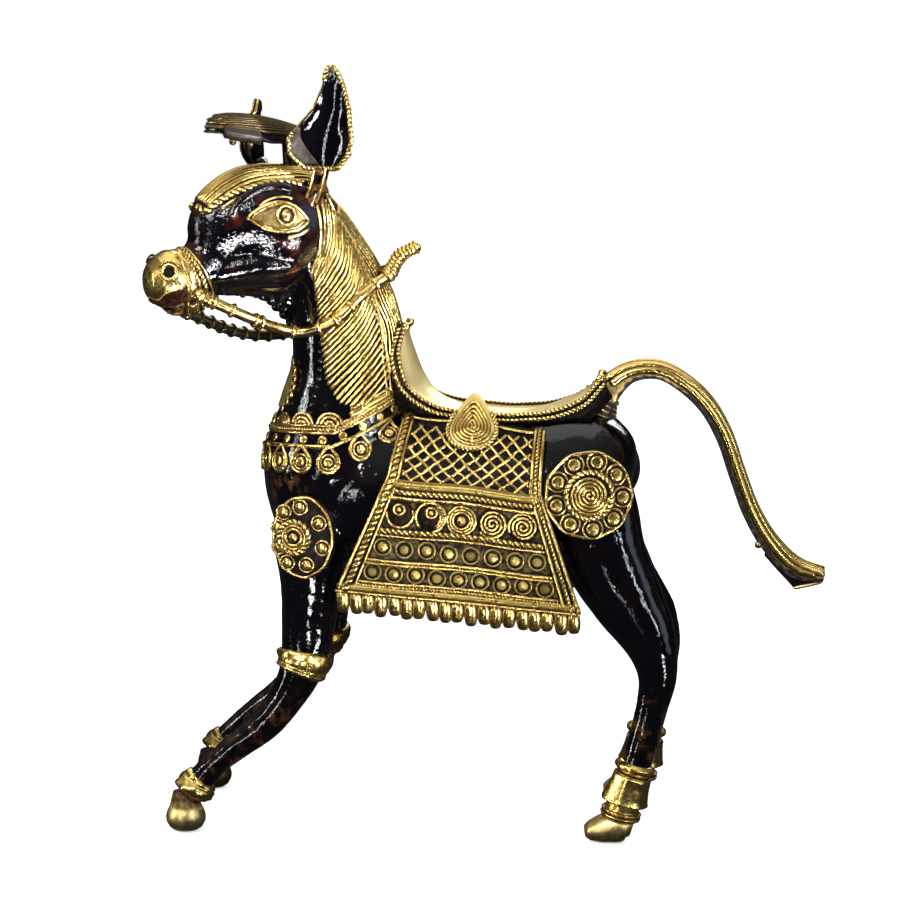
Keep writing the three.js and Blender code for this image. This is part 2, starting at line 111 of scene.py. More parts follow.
def ramp(tree, source, *stops):
    """A colour ramp: each stop is a position and a grey or a colour."""
    made = tree.nodes.new("ShaderNodeValToRGB")
    band = made.color_ramp
    while len(band.elements) < len(stops):
        band.elements.new(0.5)
    for element, (place, shade) in zip(band.elements, stops):
        element.position = place
        element.color = (shade, shade, shade, 1) if isinstance(shade, (int, float)) else (*shade, 1)
    join(tree, source, made.inputs["Fac"])
    return made.outputs["Color"]


def build_room():
    way = put(room, "ShaderNodeTexCoord")
    split = put(room, "ShaderNodeSeparateXYZ")
    join(room, way.outputs["Generated"], split.inputs[0])
    height = put(room, "ShaderNodeMath", operation="MULTIPLY_ADD")
    join(room, split.outputs["Z"], height.inputs[0])
    height.inputs[1].default_value = 0.5
    height.inputs[2].default_value = 0.5
    shade = ramp(room, height.outputs[0], (0.30, 0.03), (0.50, 0.02), (0.62, 0.07), (0.78, 0.30), (1.0, 0.70))
    ray = put(room, "ShaderNodeLightPath")
    inside = put(room, "ShaderNodeBackground", Strength=0.7)
    join(room, shade, inside.inputs["Color"])
    outside = put(room, "ShaderNodeBackground", Strength=1.0)
    outside.inputs["Color"].default_value = (1, 1, 1, 1)
    choose = put(room, "ShaderNodeMixShader")
    join(room, ray.outputs["Is Camera Ray"], choose.inputs[0])
    join(room, inside.outputs[0], choose.inputs[1])
    join(room, outside.outputs[0], choose.inputs[2])
    end = put(room, "ShaderNodeOutputWorld")
    join(room, choose.outputs[0], end.inputs["Surface"])


def lamp(name, place, width, height, watts, tint=(1, 1, 1), target=aim, spread=180):
    """A soft lamp that looks at its target; a small spread keeps its light on that part."""
    data = bpy.data.lights.new(name, "AREA")
    data.shape = "RECTANGLE"
    data.size, data.size_y = width, height
    data.energy = watts
    data.color = tint
    data.spread = math.radians(spread)
    made = place_in_scene(name, data)
    made.location = place
    made.rotation_mode = "QUATERNION"
    made.rotation_quaternion = (Vector(target) - Vector(place)).to_track_quat("-Z", "Y")


build_room()
HEAD_AT, EAR_AT = (-0.058, -0.02, 0.150), (-0.041, -0.014, 0.186)
lamp("key", (-0.55, -0.65, 0.75), 0.22, 0.22, 5.3)
lamp("strip_front", (-0.95, -0.30, 0.22), 0.022, 0.60, 3.0)
lamp("strip_side", (0.75, -0.75, 0.40), 0.028, 0.60, 3.4, (0.80, 0.90, 1))
lamp("blue_wall", (0.85, -0.22, 0.28), 0.30, 0.55, 0.9, (0.66, 0.78, 1))
lamp("small_spark", (-0.10, -0.95, 0.75), 0.06, 0.06, 3.4)
lamp("low_spark", (-0.42, -0.85, 0.10), 0.03, 0.30, 1.1)
lamp("cheek_card", (0.0, -0.26, 0.012), 0.05, 0.014, 0.06, target=HEAD_AT, spread=50)
lamp("jaw_card", (0.16, -0.17, 0.012), 0.05, 0.014, 0.06, target=HEAD_AT, spread=50)
lamp("ear_card", (0.245, -0.18, 0.195), 0.05, 0.10, 0.06, target=EAR_AT, spread=16)
lamp("top", (0.0, 0.25, 1.0), 1.2, 0.9, 3.6)
lamp("back", (0.2, 0.9, 0.6), 0.7, 0.4, 5)

# %% [markdown]
# The floor is a sheet of white paper that curves up far behind the horse, so no horizon shows
# from the photograph's angle. It could be a plane, but a plane has an edge. In the gloss of the
# lacquer the paper counts as dark, or the black legs would turn grey.

# %% Paper floor


def whole_turn(steps):
    """Angles once round, without the last one, which would repeat the first."""
    return np.linspace(0, 2 * math.pi, steps, endpoint=False)


def grid_faces(rows, columns, wrap=False):
    """Quads over a grid of points; wrap closes the grid across its columns."""
    row, column = np.meshgrid(np.arange(rows - 1), np.arange(columns if wrap else columns - 1), indexing="ij")
    here = (row * columns + column).ravel()
    right = (row * columns + (column + 1) % columns).ravel()
    return np.stack((here, right, right + columns, here + columns), axis=1)


def finish_of(name):
    """A new material, its node tree and the shader in it."""
    made = bpy.data.materials.new(name)
    made.use_nodes = True
    return made, made.node_tree, made.node_tree.nodes["Principled BSDF"]


def paper():
    run = np.concatenate((np.linspace(-2.2, 1.3, 8), 1.3 + 0.9 * np.sin(np.linspace(0.1, 1.57, 12))))
    rise = np.concatenate((np.zeros(8), 0.9 * (1 - np.cos(np.linspace(0.1, 1.57, 12)))))
    side = np.linspace(-2.4, 2.4, 9)
    points = np.stack((np.repeat(side, len(run)), np.tile(run, len(side)), np.tile(rise, len(side))), axis=1)
    points[:, 2] -= 0.0004  # just under the hooves, so that no faces share a place
    faces = grid_faces(len(side), len(run))
    mesh = bpy.data.meshes.new("paper")
    mesh.from_pydata(points.tolist(), [], faces.tolist())
    mesh.shade_smooth()
    floor = place_in_scene("paper", mesh)
    coat, tree, surface = finish_of("white_paper")
    grain = put(tree, "ShaderNodeTexNoise", Scale=900.0, Detail=4.0)
    join(tree, ramp(tree, grain.outputs["Fac"], (0.3, 0.90), (0.7, 0.94)), surface.inputs["Base Color"])
    surface.inputs["Roughness"].default_value = 0.85
    surface.inputs["Specular IOR Level"].default_value = 0.1
    surface.inputs["Emission Color"].default_value = (1, 1, 1, 1)
    surface.inputs["Emission Strength"].default_value = 0.55
    card = put(tree, "ShaderNodeBsdfDiffuse", Color=(0.022, 0.022, 0.028, 1))
    ray = put(tree, "ShaderNodeLightPath")
    choose = put(tree, "ShaderNodeMixShader")
    join(tree, ray.outputs["Is Glossy Ray"], choose.inputs[0])
    join(tree, surface.outputs[0], choose.inputs[1])
    join(tree, card.outputs[0], choose.inputs[2])
    join(tree, choose.outputs[0], tree.nodes["Material Output"].inputs["Surface"])
    mesh.materials.append(coat)


paper()

# %% [markdown]
# The tables give the horse its shape. Each row is a station: where the middle of the section is
# and how far it reaches up and sideways. They repeat the tables of the solid, in millimetres.
# Only the brow and throat are a millimetre or two slimmer, as the photo shows them.

# %% Stations of the body
TRUNK = [
    (-46.6, 0, 87, 7, 9), (-38, 0, 86, 16, 17), (-25, 0, 87, 20.5, 20), (-8, 0, 87.5, 20.2, 21),
    (10, 0, 87.5, 19.4, 20.5), (25, 0, 89.4, 19.4, 19.5), (35, 0, 92.4, 17.4, 17.5), (41.2, 0, 92.4, 12, 12),
    (44.6, 0, 91.6, 5, 6)]
NECK = [
    (-31, 0, 76, 16.5, 17.5), (-31.6, 0, 93, 19.6, 19.4), (-30.2, 0, 106, 17, 17),
    (-28.7, 0, 119, 14.7, 14.2), (-30.2, 0, 132, 13.8, 12.4), (-34, 0, 144, 11.8, 11),
    (-38, 0, 156, 8.2, 10), (-41.5, 0, 163, 5.6, 8)]
HEAD = [
    (-1.6, 155.6, 8.8, 8.6), (4, 156.2, 13.4, 11.6), (11.5, 156.2, 14.6, 13), (18.4, 155.8, 14.6, 11.8),
    (24.2, 153.7, 12.4, 9), (28.8, 148.5, 8.2, 6.8), (33.2, 145.5, 6.6, 7), (36.8, 144.2, 6.7, 6.8),
    (40.2, 143.8, 7.3, 7.4), (43.8, 143.6, 6, 6.2), (46, 143.6, 3.6, 3.8), (46.8, 143.6, 1.2, 1.4)]
CHIN = [(30, 140.6, 2, 4.6), (34, 138.6, 3.4, 5.2), (39, 137.8, 3.3, 4.6), (42, 138.6, 1.8, 2.6)]
THROAT = [(-2, 140, 6, 4), (8, 141, 4.4, 4.6), (18, 141.4, 3.4, 3.8), (28, 141.4, 2.4, 2.6)]
JAW = [(6, 147, 5.5, 9), (12, 147, 6, 11.2), (18, 147, 5.8, 11), (24, 146.2, 5, 9.2), (30, 144.6, 4.4, 6.8)]
THROAT_FOLD = [(2, 136, 5, 4.5), (7, 136.4, 4, 4), (10.5, 137, 2.4, 3), (14, 138.6, 1.4, 2)]
FORELEG = [
    (-36.4, 9, 90, 7.4, 5.6), (-36.8, 12, 77, 10.4, 8.6), (-37, 13.2, 65, 8, 7.8),
    (-37.8, 14.4, 53, 6.9, 6.8), (-38.8, 15.8, 44.3, 6.1, 6.1), (-42.6, 17, 35.8, 4.8, 5),
    (-48.4, 18, 28.4, 4.3, 4.5), (-55, 18.8, 23, 3.8, 4), (-61.2, 19.3, 17.8, 3.4, 3.7),
    (-65.8, 19.6, 12.8, 3.6, 3.8), (-68.8, 19.6, 7.6, 3.2, 3.4)]
HINDLEG = [
    (31, 8, 97, 11, 8), (34.2, 10, 84, 12.6, 9.6), (38.4, 11.6, 72.5, 11, 9), (44.6, 13.2, 61.5, 9.2, 7.8),
    (50.2, 14.8, 52, 7, 6.2), (52.2, 16, 44, 5.2, 5), (51.3, 17, 36.5, 4.3, 4.3), (49.4, 17.8, 28.6, 4, 4),
    (47, 18.3, 20, 3.9, 3.9), (44.4, 18.6, 11.6, 3.7, 3.7), (43, 18.6, 6, 3.5, 3.5)]
OFF_HIND_SHIFT = [(8, 2.6), (20, 1.1), (48, -0.8), (62, -3)]
NEAR, OFF = -1, 1
HEAD_TURN = math.radians(32)
POLL_X = -37.0


def read(rows, key):
    """Values of a table at a key, straight between its rows."""
    rows = np.asarray(sorted(rows), float)
    return [np.interp(key, rows[:, 0], rows[:, column]) for column in range(1, rows.shape[1])]


def on_head(ahead, aside, z):
    """A place in the head's own frame, which is turned towards the near side."""
    ahead, aside, z = np.broadcast_arrays(np.asarray(ahead, float), aside, z)
    cos, sin = math.cos(HEAD_TURN), math.sin(HEAD_TURN)
    return np.stack((POLL_X - ahead * cos - aside * sin, -ahead * sin + aside * cos, z), axis=-1)


def head_stations(rows):
    return [(*on_head(ahead, 0, z), deep, wide) for ahead, z, deep, wide in rows]


ASIDE = on_head(0, 1, 0) - on_head(0, 0, 0)
print("stations:", sum(len(rows) for rows in (TRUNK, NECK, HEAD, CHIN, THROAT, FORELEG, HINDLEG)))

# %% [markdown]
# A limb is an oval carried along a smooth path. The path must be the very curve of the solid, a
# centripetal Catmull-Rom, which passes through every station without swinging wide between them.

# %% Smooth path and loft


def smooth_path(points, per_span):
    """The centripetal curve through the points, with per_span steps between neighbours."""
    p = np.asarray(points, float)
    ends = np.vstack((2 * p[0] - p[1], p, 2 * p[-1] - p[-2]))
    share = np.linspace(0, 1, per_span, endpoint=False)[:, None]
    out = []
    for k in range(len(p) - 1):
        a, b, c, d = ends[k:k + 4]
        gap = [np.linalg.norm(two - one) ** 0.5 for one, two in ((a, b), (b, c), (c, d))]
        middle = gap[1] if gap[1] > 1e-4 else 1.0
        before = gap[0] if gap[0] > 1e-4 else middle
        after = gap[2] if gap[2] > 1e-4 else middle
        leave = ((b - a) / before - (c - a) / (before + middle) + (c - b) / middle) * middle
        reach = ((c - b) / middle - (d - b) / (middle + after) + (d - c) / after) * middle
        out.append(b + leave * share + (3 * (c - b) - 2 * leave - reach) * share ** 2
                   + (2 * (b - c) + leave + reach) * share ** 3)
    out.append(p[-1:])
    return np.vstack(out)


def unit(rows):
    rows = np.asarray(rows, float)
    return rows / np.maximum(np.linalg.norm(rows, axis=-1, keepdims=True), 1e-9)


def loft(stations, sides=40, per_span=8, side=(0, 1, 0), proud=None):
    """Rings of points along a limb; proud(share) swells it. Gives rings and the frame of each."""
    stations = np.asarray(stations, float)
    path = smooth_path(stations[:, :3], per_span)
    size = smooth_path(np.column_stack((stations[:, 3:5], np.zeros(len(stations)))), per_span)
    along = unit(np.gradient(path, axis=0))
    across = unit(np.asarray(side) - along * (along @ np.asarray(side, float))[:, None])
    up = np.cross(along, across)
    swell = np.zeros(len(path)) if proud is None else proud(np.linspace(0, 1, len(path)))
    turn = whole_turn(sides)
    wide = (size[:, 1] + swell)[:, None, None] * np.sin(turn)[None, :, None]
    deep = (size[:, 0] + swell)[:, None, None] * np.cos(turn)[None, :, None]
    return path[:, None] + across[:, None] * wide + up[:, None] * deep, path, across, up


def closed_skin(rings):
    """Points and faces of a tube of rings, with a fan over each end."""
    rows, sides = rings.shape[:2]
    points = np.vstack((rings.reshape(-1, 3), rings[0].mean(axis=0), rings[-1].mean(axis=0)))
    faces = grid_faces(rows, sides, wrap=True).tolist()
    last = (rows - 1) * sides
    for k in range(sides):
        following = (k + 1) % sides
        faces.append([following, k, rows * sides])
        faces.append([last + k, last + following, rows * sides + 1])
    return points, faces


# %% [markdown]
# The trunk, neck, head and legs overlap like lumps of wax. A voxel remesh melts them into one
# skin, and a smoothing pass draws the thumb over every joint. Boolean union would keep hard
# creases where the lumps meet, which wax doesn't have.

# %% Skin of the horse


def off_hind(rows):
    return [(x + read(OFF_HIND_SHIFT, z)[0], y, z, deep, wide) for x, y, z, deep, wide in rows]


def mirrored(rows, hand):
    return [(x, y * hand, z, deep, wide) for x, y, z, deep, wide in rows]


LEGS = {("fore", hand): mirrored(FORELEG, hand) for hand in (NEAR, OFF)}
LEGS["hind", NEAR] = mirrored(HINDLEG, NEAR)
LEGS["hind", OFF] = mirrored(off_hind(HINDLEG), OFF)


def melt(lumps, voxel, passes):
    """One smooth skin, in millimetres, from lumps that overlap."""
    points, faces = [], []
    for rings in lumps:
        more, quads = closed_skin(rings)
        base = sum(len(p) for p in points)
        points.append(more)
        faces += [[k + base for k in face] for face in quads]
    mesh = bpy.data.meshes.new("lumps")
    mesh.from_pydata(np.vstack(points).tolist(), [], faces)
    lump = place_in_scene("lumps", mesh)
    remesh = lump.modifiers.new("melt", "REMESH")
    remesh.mode = "VOXEL"
    remesh.voxel_size = voxel
    smooth = lump.modifiers.new("thumb", "SMOOTH")
    smooth.factor = 0.5
    smooth.iterations = passes
    done = bpy.data.meshes.new_from_object(lump.evaluated_get(bpy.context.evaluated_depsgraph_get()))
    bpy.data.objects.remove(lump)
    bpy.data.meshes.remove(mesh)
    return done


lumps = [loft(TRUNK)[0], loft(NECK)[0]]
lumps += [loft(head_stations(rows), side=ASIDE)[0] for rows in (HEAD, CHIN, THROAT, THROAT_FOLD, JAW)]
lumps += [loft(leg)[0] for leg in LEGS.values()]
skin = melt(lumps, 0.75, 12)
skin_points = np.array([v.co for v in skin.vertices])
skin_ways = np.array([v.normal for v in skin.vertices])
print("skin:", len(skin.vertices), "points,", len(skin.polygons), "faces")

# %% [markdown]
# Hands leave the wax slightly uneven. Two layers of noise move each point in or out by a fifth
# of a millimetre at most, so highlights wander as they do on the real horse.

# %% Hand-made surface
uneven = np.array([noise.noise(Vector(p) * 0.16) * 0.16 + noise.noise(Vector(p) * 0.5) * 0.05
                   for p in skin_points])
skin_points += skin_ways * uneven[:, None]
skin_faces = [list(face.vertices) for face in skin.polygons]
skin_tree = BVHTree.FromPolygons(skin_points.tolist(), skin_faces)
bpy.data.meshes.remove(skin)


def lay(points, proud=0.0):
    """Press points on to the skin: their places, and the way out of the skin at each."""
    places, ways = [], []
    for point in np.asarray(points, float).reshape(-1, 3):
        place, way, _, _ = skin_tree.find_nearest(Vector(point))
        places.append(place)
        ways.append(way)
    places, ways = np.array(places), np.array(ways)
    if len(ways) > 4:
        padded = np.vstack((ways[:1], ways[:1], ways, ways[-1:], ways[-1:]))
        ways = sum(padded[k:k + len(places)] for k in range(5))
    ways = unit(ways)
    return places + ways * proud, ways


print("unevenness in mm:", round(float(uneven.min()), 2), "to", round(float(uneven.max()), 2))

# %% [markdown]
# Every ornament is wax laid on wax. The Wax class gathers points and faces for one piece. It
# also notes how high each point stands, from 0 in a groove to 1 on a crown, because the finish
# needs it: dark patina stays in the grooves and polish reaches the crowns.

# %% Wax that becomes a piece
count_of = {}


class Wax:
    def __init__(self):
        self.points, self.faces, self.crown, self.total = [], [], [], 0

    def add(self, points, faces, crown=1.0):
        points = np.asarray(points, float).reshape(-1, 3)
        self.points.append(points)
        self.crown.append(np.broadcast_to(np.asarray(crown, float).reshape(-1), (len(points),)))
        base = self.total
        self.faces += [[k + base for k in face] for face in faces]
        self.total += len(points)

    def cast(self, name, material, extra=None):
        """Turn the wax into a piece of the horse, in metres and in the frame of the solid."""
        points = (np.vstack(self.points) + SHIFT) * MM
        mesh = bpy.data.meshes.new(name)
        mesh.from_pydata(points.tolist(), [], self.faces)
        values = {"crown": np.concatenate(self.crown), **(extra or {})}
        for label, value in values.items():
            layer = mesh.attributes.new(label, "FLOAT", "POINT")
            layer.data.foreach_set("value", np.asarray(value, np.float32))
        mesh.shade_smooth()
        mesh.materials.append(material)
        piece = place_in_scene(name, mesh)
        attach(piece, "root")
        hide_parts("dhokra_horse")
        triangles = sum(len(face) - 2 for face in self.faces)
        count_of[name] = triangles
        print(f"{name}: {triangles} triangles")


# %% [markdown]
# Two kinds of finish cover the horse: black lacquer on the body and brass on the ornaments. The
# lacquer pools and wears, so it gets an uneven gloss, a red-brown tint and amber patches where
# hands rub. A texture image could hold all this, but nodes stay sharp at any distance.

# %% Black lacquer


def noise_of(tree, size, detail=3.0, roughness=0.55):
    """Noise whose grains measure about size millimetres."""
    place = put(tree, "ShaderNodeTexCoord")
    made = put(tree, "ShaderNodeTexNoise", Scale=1000.0 / size, Detail=detail, Roughness=roughness)
    join(tree, place.outputs["Object"], made.inputs["Vector"])
    return made.outputs["Fac"]


def mix_colour(tree, share, first, second):
    """Blend two colours; each may be a colour or a socket."""
    made = put(tree, "ShaderNodeMix", data_type="RGBA")
    for source, socket in ((share, made.inputs["Factor"]), (first, made.inputs[6]), (second, made.inputs[7])):
        if isinstance(source, bpy.types.NodeSocket):
            join(tree, source, socket)
        elif isinstance(source, tuple):
            socket.default_value = (*source, 1)
        else:
            socket.default_value = source
    return made.outputs[2]


def calculate(tree, operation, first, second=0.0, third=None):
    made = put(tree, "ShaderNodeMath", operation=operation)
    for k, source in enumerate((first, second, third)):
        if isinstance(source, bpy.types.NodeSocket):
            join(tree, source, made.inputs[k])
        elif source is not None:
            made.inputs[k].default_value = source
    return made.outputs[0]


def bumps(tree, *layers):
    """Stack bumps; each layer is a socket and its depth in millimetres."""
    normal = None
    for source, depth in layers:
        made = put(tree, "ShaderNodeBump", Strength=1.0, Distance=depth * MM)
        join(tree, source, made.inputs["Height"])
        if normal is not None:
            join(tree, normal, made.inputs["Normal"])
        normal = made.outputs["Normal"]
    return normal


def attribute(tree, name):
    return put(tree, "ShaderNodeAttribute", attribute_name=name).outputs["Fac"]


def black_lacquer():
    made, tree, surface = finish_of("black_lacquer")
    red = calculate(tree, "MULTIPLY", attribute(tree, "blush"),
                    ramp(tree, noise_of(tree, 5, 5.0), (0.52, 0.0), (0.70, 1.0)))
    black = mix_colour(tree, red, (0.0010, 0.0009, 0.0014), (0.026, 0.0038, 0.0026))
    rubbed = calculate(tree, "MULTIPLY", attribute(tree, "worn"),
                       ramp(tree, noise_of(tree, 3.6, 5.0), (0.50, 0.0), (0.62, 1.0)))
    amber = mix_colour(tree, ramp(tree, noise_of(tree, 1.6, 3.0), (0.35, 0.0), (0.65, 1.0)),
                       (0.09, 0.030, 0.008), (0.34, 0.15, 0.035))
    join(tree, mix_colour(tree, rubbed, black, amber), surface.inputs["Base Color"])
    join(tree, calculate(tree, "MULTIPLY", rubbed, 0.75), surface.inputs["Metallic"])
    join(tree, ramp(tree, noise_of(tree, 2.2, 4.0), (0.35, 0.02), (0.7, 0.06)), surface.inputs["Roughness"])
    surface.inputs["Coat Weight"].default_value = 0.7
    surface.inputs["Coat Roughness"].default_value = 0.03
    surface.inputs["Specular IOR Level"].default_value = 0.12
    peel = calculate(tree, "MULTIPLY", noise_of(tree, 0.8, 2.0, 0.6),
                     calculate(tree, "MULTIPLY_ADD", attribute(tree, "blush"), 0.6, 0.4))
    join(tree, bumps(tree, (noise_of(tree, 7, 2.0), 0.26), (peel, 0.12)), surface.inputs["Normal"])
    join(tree, surface.inputs["Normal"].links[0].from_socket, surface.inputs["Coat Normal"])
    return made


LACQUER = black_lacquer()

# %% [markdown]
# Brass needs its dark side. Ambient occlusion finds the narrow places between threads, the
# crown value finds the flanks of each thread, and noise breaks the edge between the two. One
# recipe makes every brass: the seat and muzzle are rubbed bright, and the forelock, the far
# rein and the far foreleg's bands and hoof are made dark as painted shade.

# %% Cast brass


def cast_brass(name, bright, dark, soil=1.0, rough=0.24, grain=0.05, reach=1.3, dull=0.5):
    """Brass: bright where it is rubbed, dark in its grooves. soil says how far the dark spreads."""
    made, tree, surface = finish_of(name)
    shelter = put(tree, "ShaderNodeAmbientOcclusion", samples=6, Distance=reach * MM)
    open_air = ramp(tree, shelter.outputs["AO"], (0.42, 0.0), (0.88, 1.0))
    height = ramp(tree, attribute(tree, "crown"), (0.05, 0.0), (0.75, 1.0))
    polish = calculate(tree, "MULTIPLY", open_air, height)
    broken = calculate(tree, "MULTIPLY_ADD", noise_of(tree, 1.9, 4.0, 0.7), 0.9, -0.45)
    share = calculate(tree, "MULTIPLY_ADD", broken, soil, polish)
    clean = ramp(tree, share, (0.30, 0.0), (0.66, 1.0))
    tone = ramp(tree, noise_of(tree, 7, 3.0), (0.35, 0.0), (0.7, 1.0))
    warm = tuple(a * b for a, b in zip(bright, (0.92, 0.84, 0.70)))
    metal = mix_colour(tree, tone, bright, warm)
    soot = mix_colour(tree, ramp(tree, noise_of(tree, 1.4, 4.0), (0.48, 0.0), (0.70, 1.0)), dark,
                      tuple(4 * part for part in dark))
    join(tree, mix_colour(tree, clean, soot, metal), surface.inputs["Base Color"])
    join(tree, calculate(tree, "MULTIPLY_ADD", clean, 0.55, 0.45), surface.inputs["Metallic"])
    gloss = ramp(tree, noise_of(tree, 1.1, 4.0), (0.3, rough - 0.07), (0.75, rough + 0.14))
    join(tree, mix_colour(tree, clean, (dull, dull, dull), gloss), surface.inputs["Roughness"])
    surface.inputs["Specular IOR Level"].default_value = 0.07
    join(tree, bumps(tree, (noise_of(tree, 2.6, 2.0), grain * 2), (noise_of(tree, 0.45, 3.0), grain * 0.6)),
         surface.inputs["Normal"])
    return made


BRASS = cast_brass("rubbed_brass", (0.78, 0.54, 0.16), (0.012, 0.007, 0.004), soil=0.6, rough=0.20, reach=1.6)
SEAT_BRASS = cast_brass("seat_brass", (0.95, 0.79, 0.40), (0.0035, 0.0025, 0.002), soil=0.25, rough=0.44)
# Grey brass; on the forelock's near edge this grey is a painted reflection of the floor.
GREY_CAST_AND_REFLECTION = cast_brass("grey_casting_and_reflection", (0.060, 0.052, 0.044), (0.012, 0.010, 0.008), soil=0.5, rough=0.42,
                       grain=0.03)
OLIVE_BRASS = cast_brass("olive_brass", (0.27, 0.195, 0.055), (0.012, 0.008, 0.004), soil=0.5, rough=0.28)
AGED_BRASS = cast_brass("aged_brass", (0.62, 0.43, 0.125), (0.008, 0.005, 0.003), soil=0.75, rough=0.20,
                        reach=1.6)
PALE_BRASS = cast_brass("matte_brass", (0.84, 0.65, 0.26), (0.05, 0.03, 0.012), soil=0.4, rough=0.36,
                        grain=0.05)
POLISHED_BRASS = cast_brass("polished_brass", (0.84, 0.60, 0.18), (0.012, 0.0045, 0.0025), soil=0.4,
                            rough=0.22, grain=0.05, dull=0.22)
TAIL_BRASS = cast_brass("tail_brass", (0.68, 0.49, 0.16), (0.020, 0.018, 0.019), soil=0.3, rough=0.30,
                        grain=0.07)
# Dark brass; on the far front hoof this dark is painted shade.
DARK_BRASS = cast_brass("sooty_and_shaded_brass", (0.22, 0.155, 0.05), (0.006, 0.0045, 0.004), soil=1.1, rough=0.34,
                        grain=0.09)
# Smoked brass is near black; on the forelock and the far rein this dark is painted shade.
SMOKED_AND_SHADED_BRASS = cast_brass("smoked_and_shaded_brass", (0.085, 0.060, 0.026), (0.005, 0.004, 0.0035), soil=1.5,
                          rough=0.30, grain=0.09)

# %% [markdown]
# The body skin is the first piece. Its worn value says where the lacquer is rubbed to amber:
# down the shins, under the muzzle, and below the necklace.

# %% Body skin


def worn_places(points):
    x, y, z = points.T
    shins = np.clip((40 - z) / 10, 0, 1) * (z > 4) * (0.15 + 0.4 * (z < 14))
    breast = np.exp(-((x + 43) ** 2 + (z - 90) ** 2) / 14) * 0.35
    muzzle = 0.8 * np.clip((-66 - x) / 3, 0, 1) * np.clip((z - 125) / 6, 0, 1)
    return np.clip(shins + breast + muzzle, 0, 1)


def blush_places(points):
    """The lacquer is thin and red over the cheeks and brow, and near black elsewhere."""
    x, _, z = points.T
    head = np.clip((z - 142) / 5, 0, 1) * np.clip((-34 - x) / 6, 0, 1)
    return 0.08 + 0.92 * head


body = Wax()
body.add(skin_points, skin_faces)
body.cast("body_skin", LACQUER, {"worn": worn_places(skin_points), "blush": blush_places(skin_points)})

# %% [markdown]
# A thread is a round strip of wax, half sunk where it is pressed down. It needs a path and the
# way out of the surface at each point. A Blender curve with a bevel would make the tube too,
# but it can't twist into a rope or tell its crown from its foot, so both are drawn here.

# %% Threads


def even(path, ways, step, closed=False):
    """The path and its ways again, with points a step apart."""
    path, ways = np.asarray(path, float), np.broadcast_to(np.asarray(ways, float), np.shape(path))
    if closed:
        path, ways = np.vstack((path, path[:1])), np.vstack((ways, ways[:1]))
    run = np.concatenate(([0], np.cumsum(np.linalg.norm(np.diff(path, axis=0), axis=1))))
    count = max(int(round(run[-1] / step)), 3)
    at = np.linspace(0, run[-1], count + 1)[:count if closed else count + 1]
    both = np.column_stack((path, ways))
    both = np.column_stack([np.interp(at, run, both[:, k]) for k in range(6)])
    return both[:, :3], unit(both[:, 3:]), at


def frames(path, ways, closed):
    """Directions across and out of a path."""
    if closed:
        along = unit(np.roll(path, -1, axis=0) - np.roll(path, 1, axis=0))
    else:
        along = unit(np.gradient(path, axis=0))
    ways = unit(ways - along * np.sum(along * ways, axis=1, keepdims=True))
    return np.cross(along, ways), ways


def tube(wax, rings, crown, closed=False):
    """Close a row of rings into a tube, or into a loop."""
    rows, sides = rings.shape[:2]
    if closed:
        rings, crown = np.concatenate((rings, rings[:1])), np.concatenate((crown, crown[:1]))
        faces = grid_faces(rows + 1, sides, wrap=True) % (rows * sides)
        wax.add(rings[:-1], faces.tolist(), crown[:-1])
        return
    wax.add(*closed_skin(rings), np.concatenate((crown.ravel(), [0.5, 0.5])))


def thread(wax, path, ways, radius, closed=False, sides=6, lift=0.45, flat=1.0, step=0.6, taper=0.55,
           shine=1.0):
    """A round or flattened thread along a path."""
    path, ways, _ = even(path, ways, step, closed)
    across, ways = frames(path, ways, closed)
    turn = whole_turn(sides)
    size = np.full((len(path), 1, 1), float(radius))
    if not closed:
        size[0] = size[-1] = radius * taper
    rings = ((path + ways * radius * flat * lift)[:, None]
             + across[:, None] * size * np.sin(turn)[None, :, None]
             + ways[:, None] * size * flat * np.cos(turn)[None, :, None])
    crown = np.tile(shine * np.clip((np.cos(turn) + 0.3) / 1.3, 0, 1), (len(path), 1))
    tube(wax, rings, crown, closed)


def rope(wax, path, ways, radius, closed=False, pitch=None):
    """Two threads twisted together: the section has two lobes and turns along the path."""
    pitch = pitch or radius * 3.5
    path, ways, at = even(path, ways, pitch / 10, closed)
    across, ways = frames(path, ways, closed)
    length = at[-1] + (at[1] if closed else 0)
    pitch = length / max(round(length / pitch * 2) / 2, 0.5) if closed else pitch
    turn = whole_turn(10)
    lobe = np.abs(np.cos(turn[None, :] - 2 * math.pi * at[:, None] / pitch))
    size = radius * (0.60 + 0.40 * lobe)
    rings = ((path + ways * radius * 0.35)[:, None] + across[:, None] * (size * np.sin(turn))[..., None]
             + ways[:, None] * (size * np.cos(turn))[..., None])
    crown = np.clip((np.cos(turn) + 0.3) / 1.3, 0, 1)[None, :] * np.clip(lobe * 1.5 - 0.25, 0, 1)
    tube(wax, rings, crown, closed)


def square_to(way):
    """Two directions in the plane that faces a way: right and up."""
    way = unit(way)
    up = np.asarray((0, 0, 1) if abs(way[2]) < 0.99 else (0, 1, 0), float)
    up = unit(up - way * np.dot(up, way))
    return np.cross(up, way), up


def turned(wax, centre, way, profile, sides=20, squash=1.0, crown=None):
    """A round thing: profile is [(radius, height), ...] from its foot to its middle."""
    right, up = square_to(way)
    turn = whole_turn(sides)
    profile = np.asarray(profile, float)
    circle = right * np.cos(turn)[:, None] * squash + up * np.sin(turn)[:, None]
    rings = (np.asarray(centre, float) + profile[:, 0, None, None] * circle[None]
             + profile[:, 1, None, None] * unit(way))
    shade = np.linspace(0, 1, len(profile)) ** 0.5 if crown is None else np.asarray(crown, float)
    tube(wax, rings[::-1], np.repeat(shade[::-1, None], sides, axis=1))


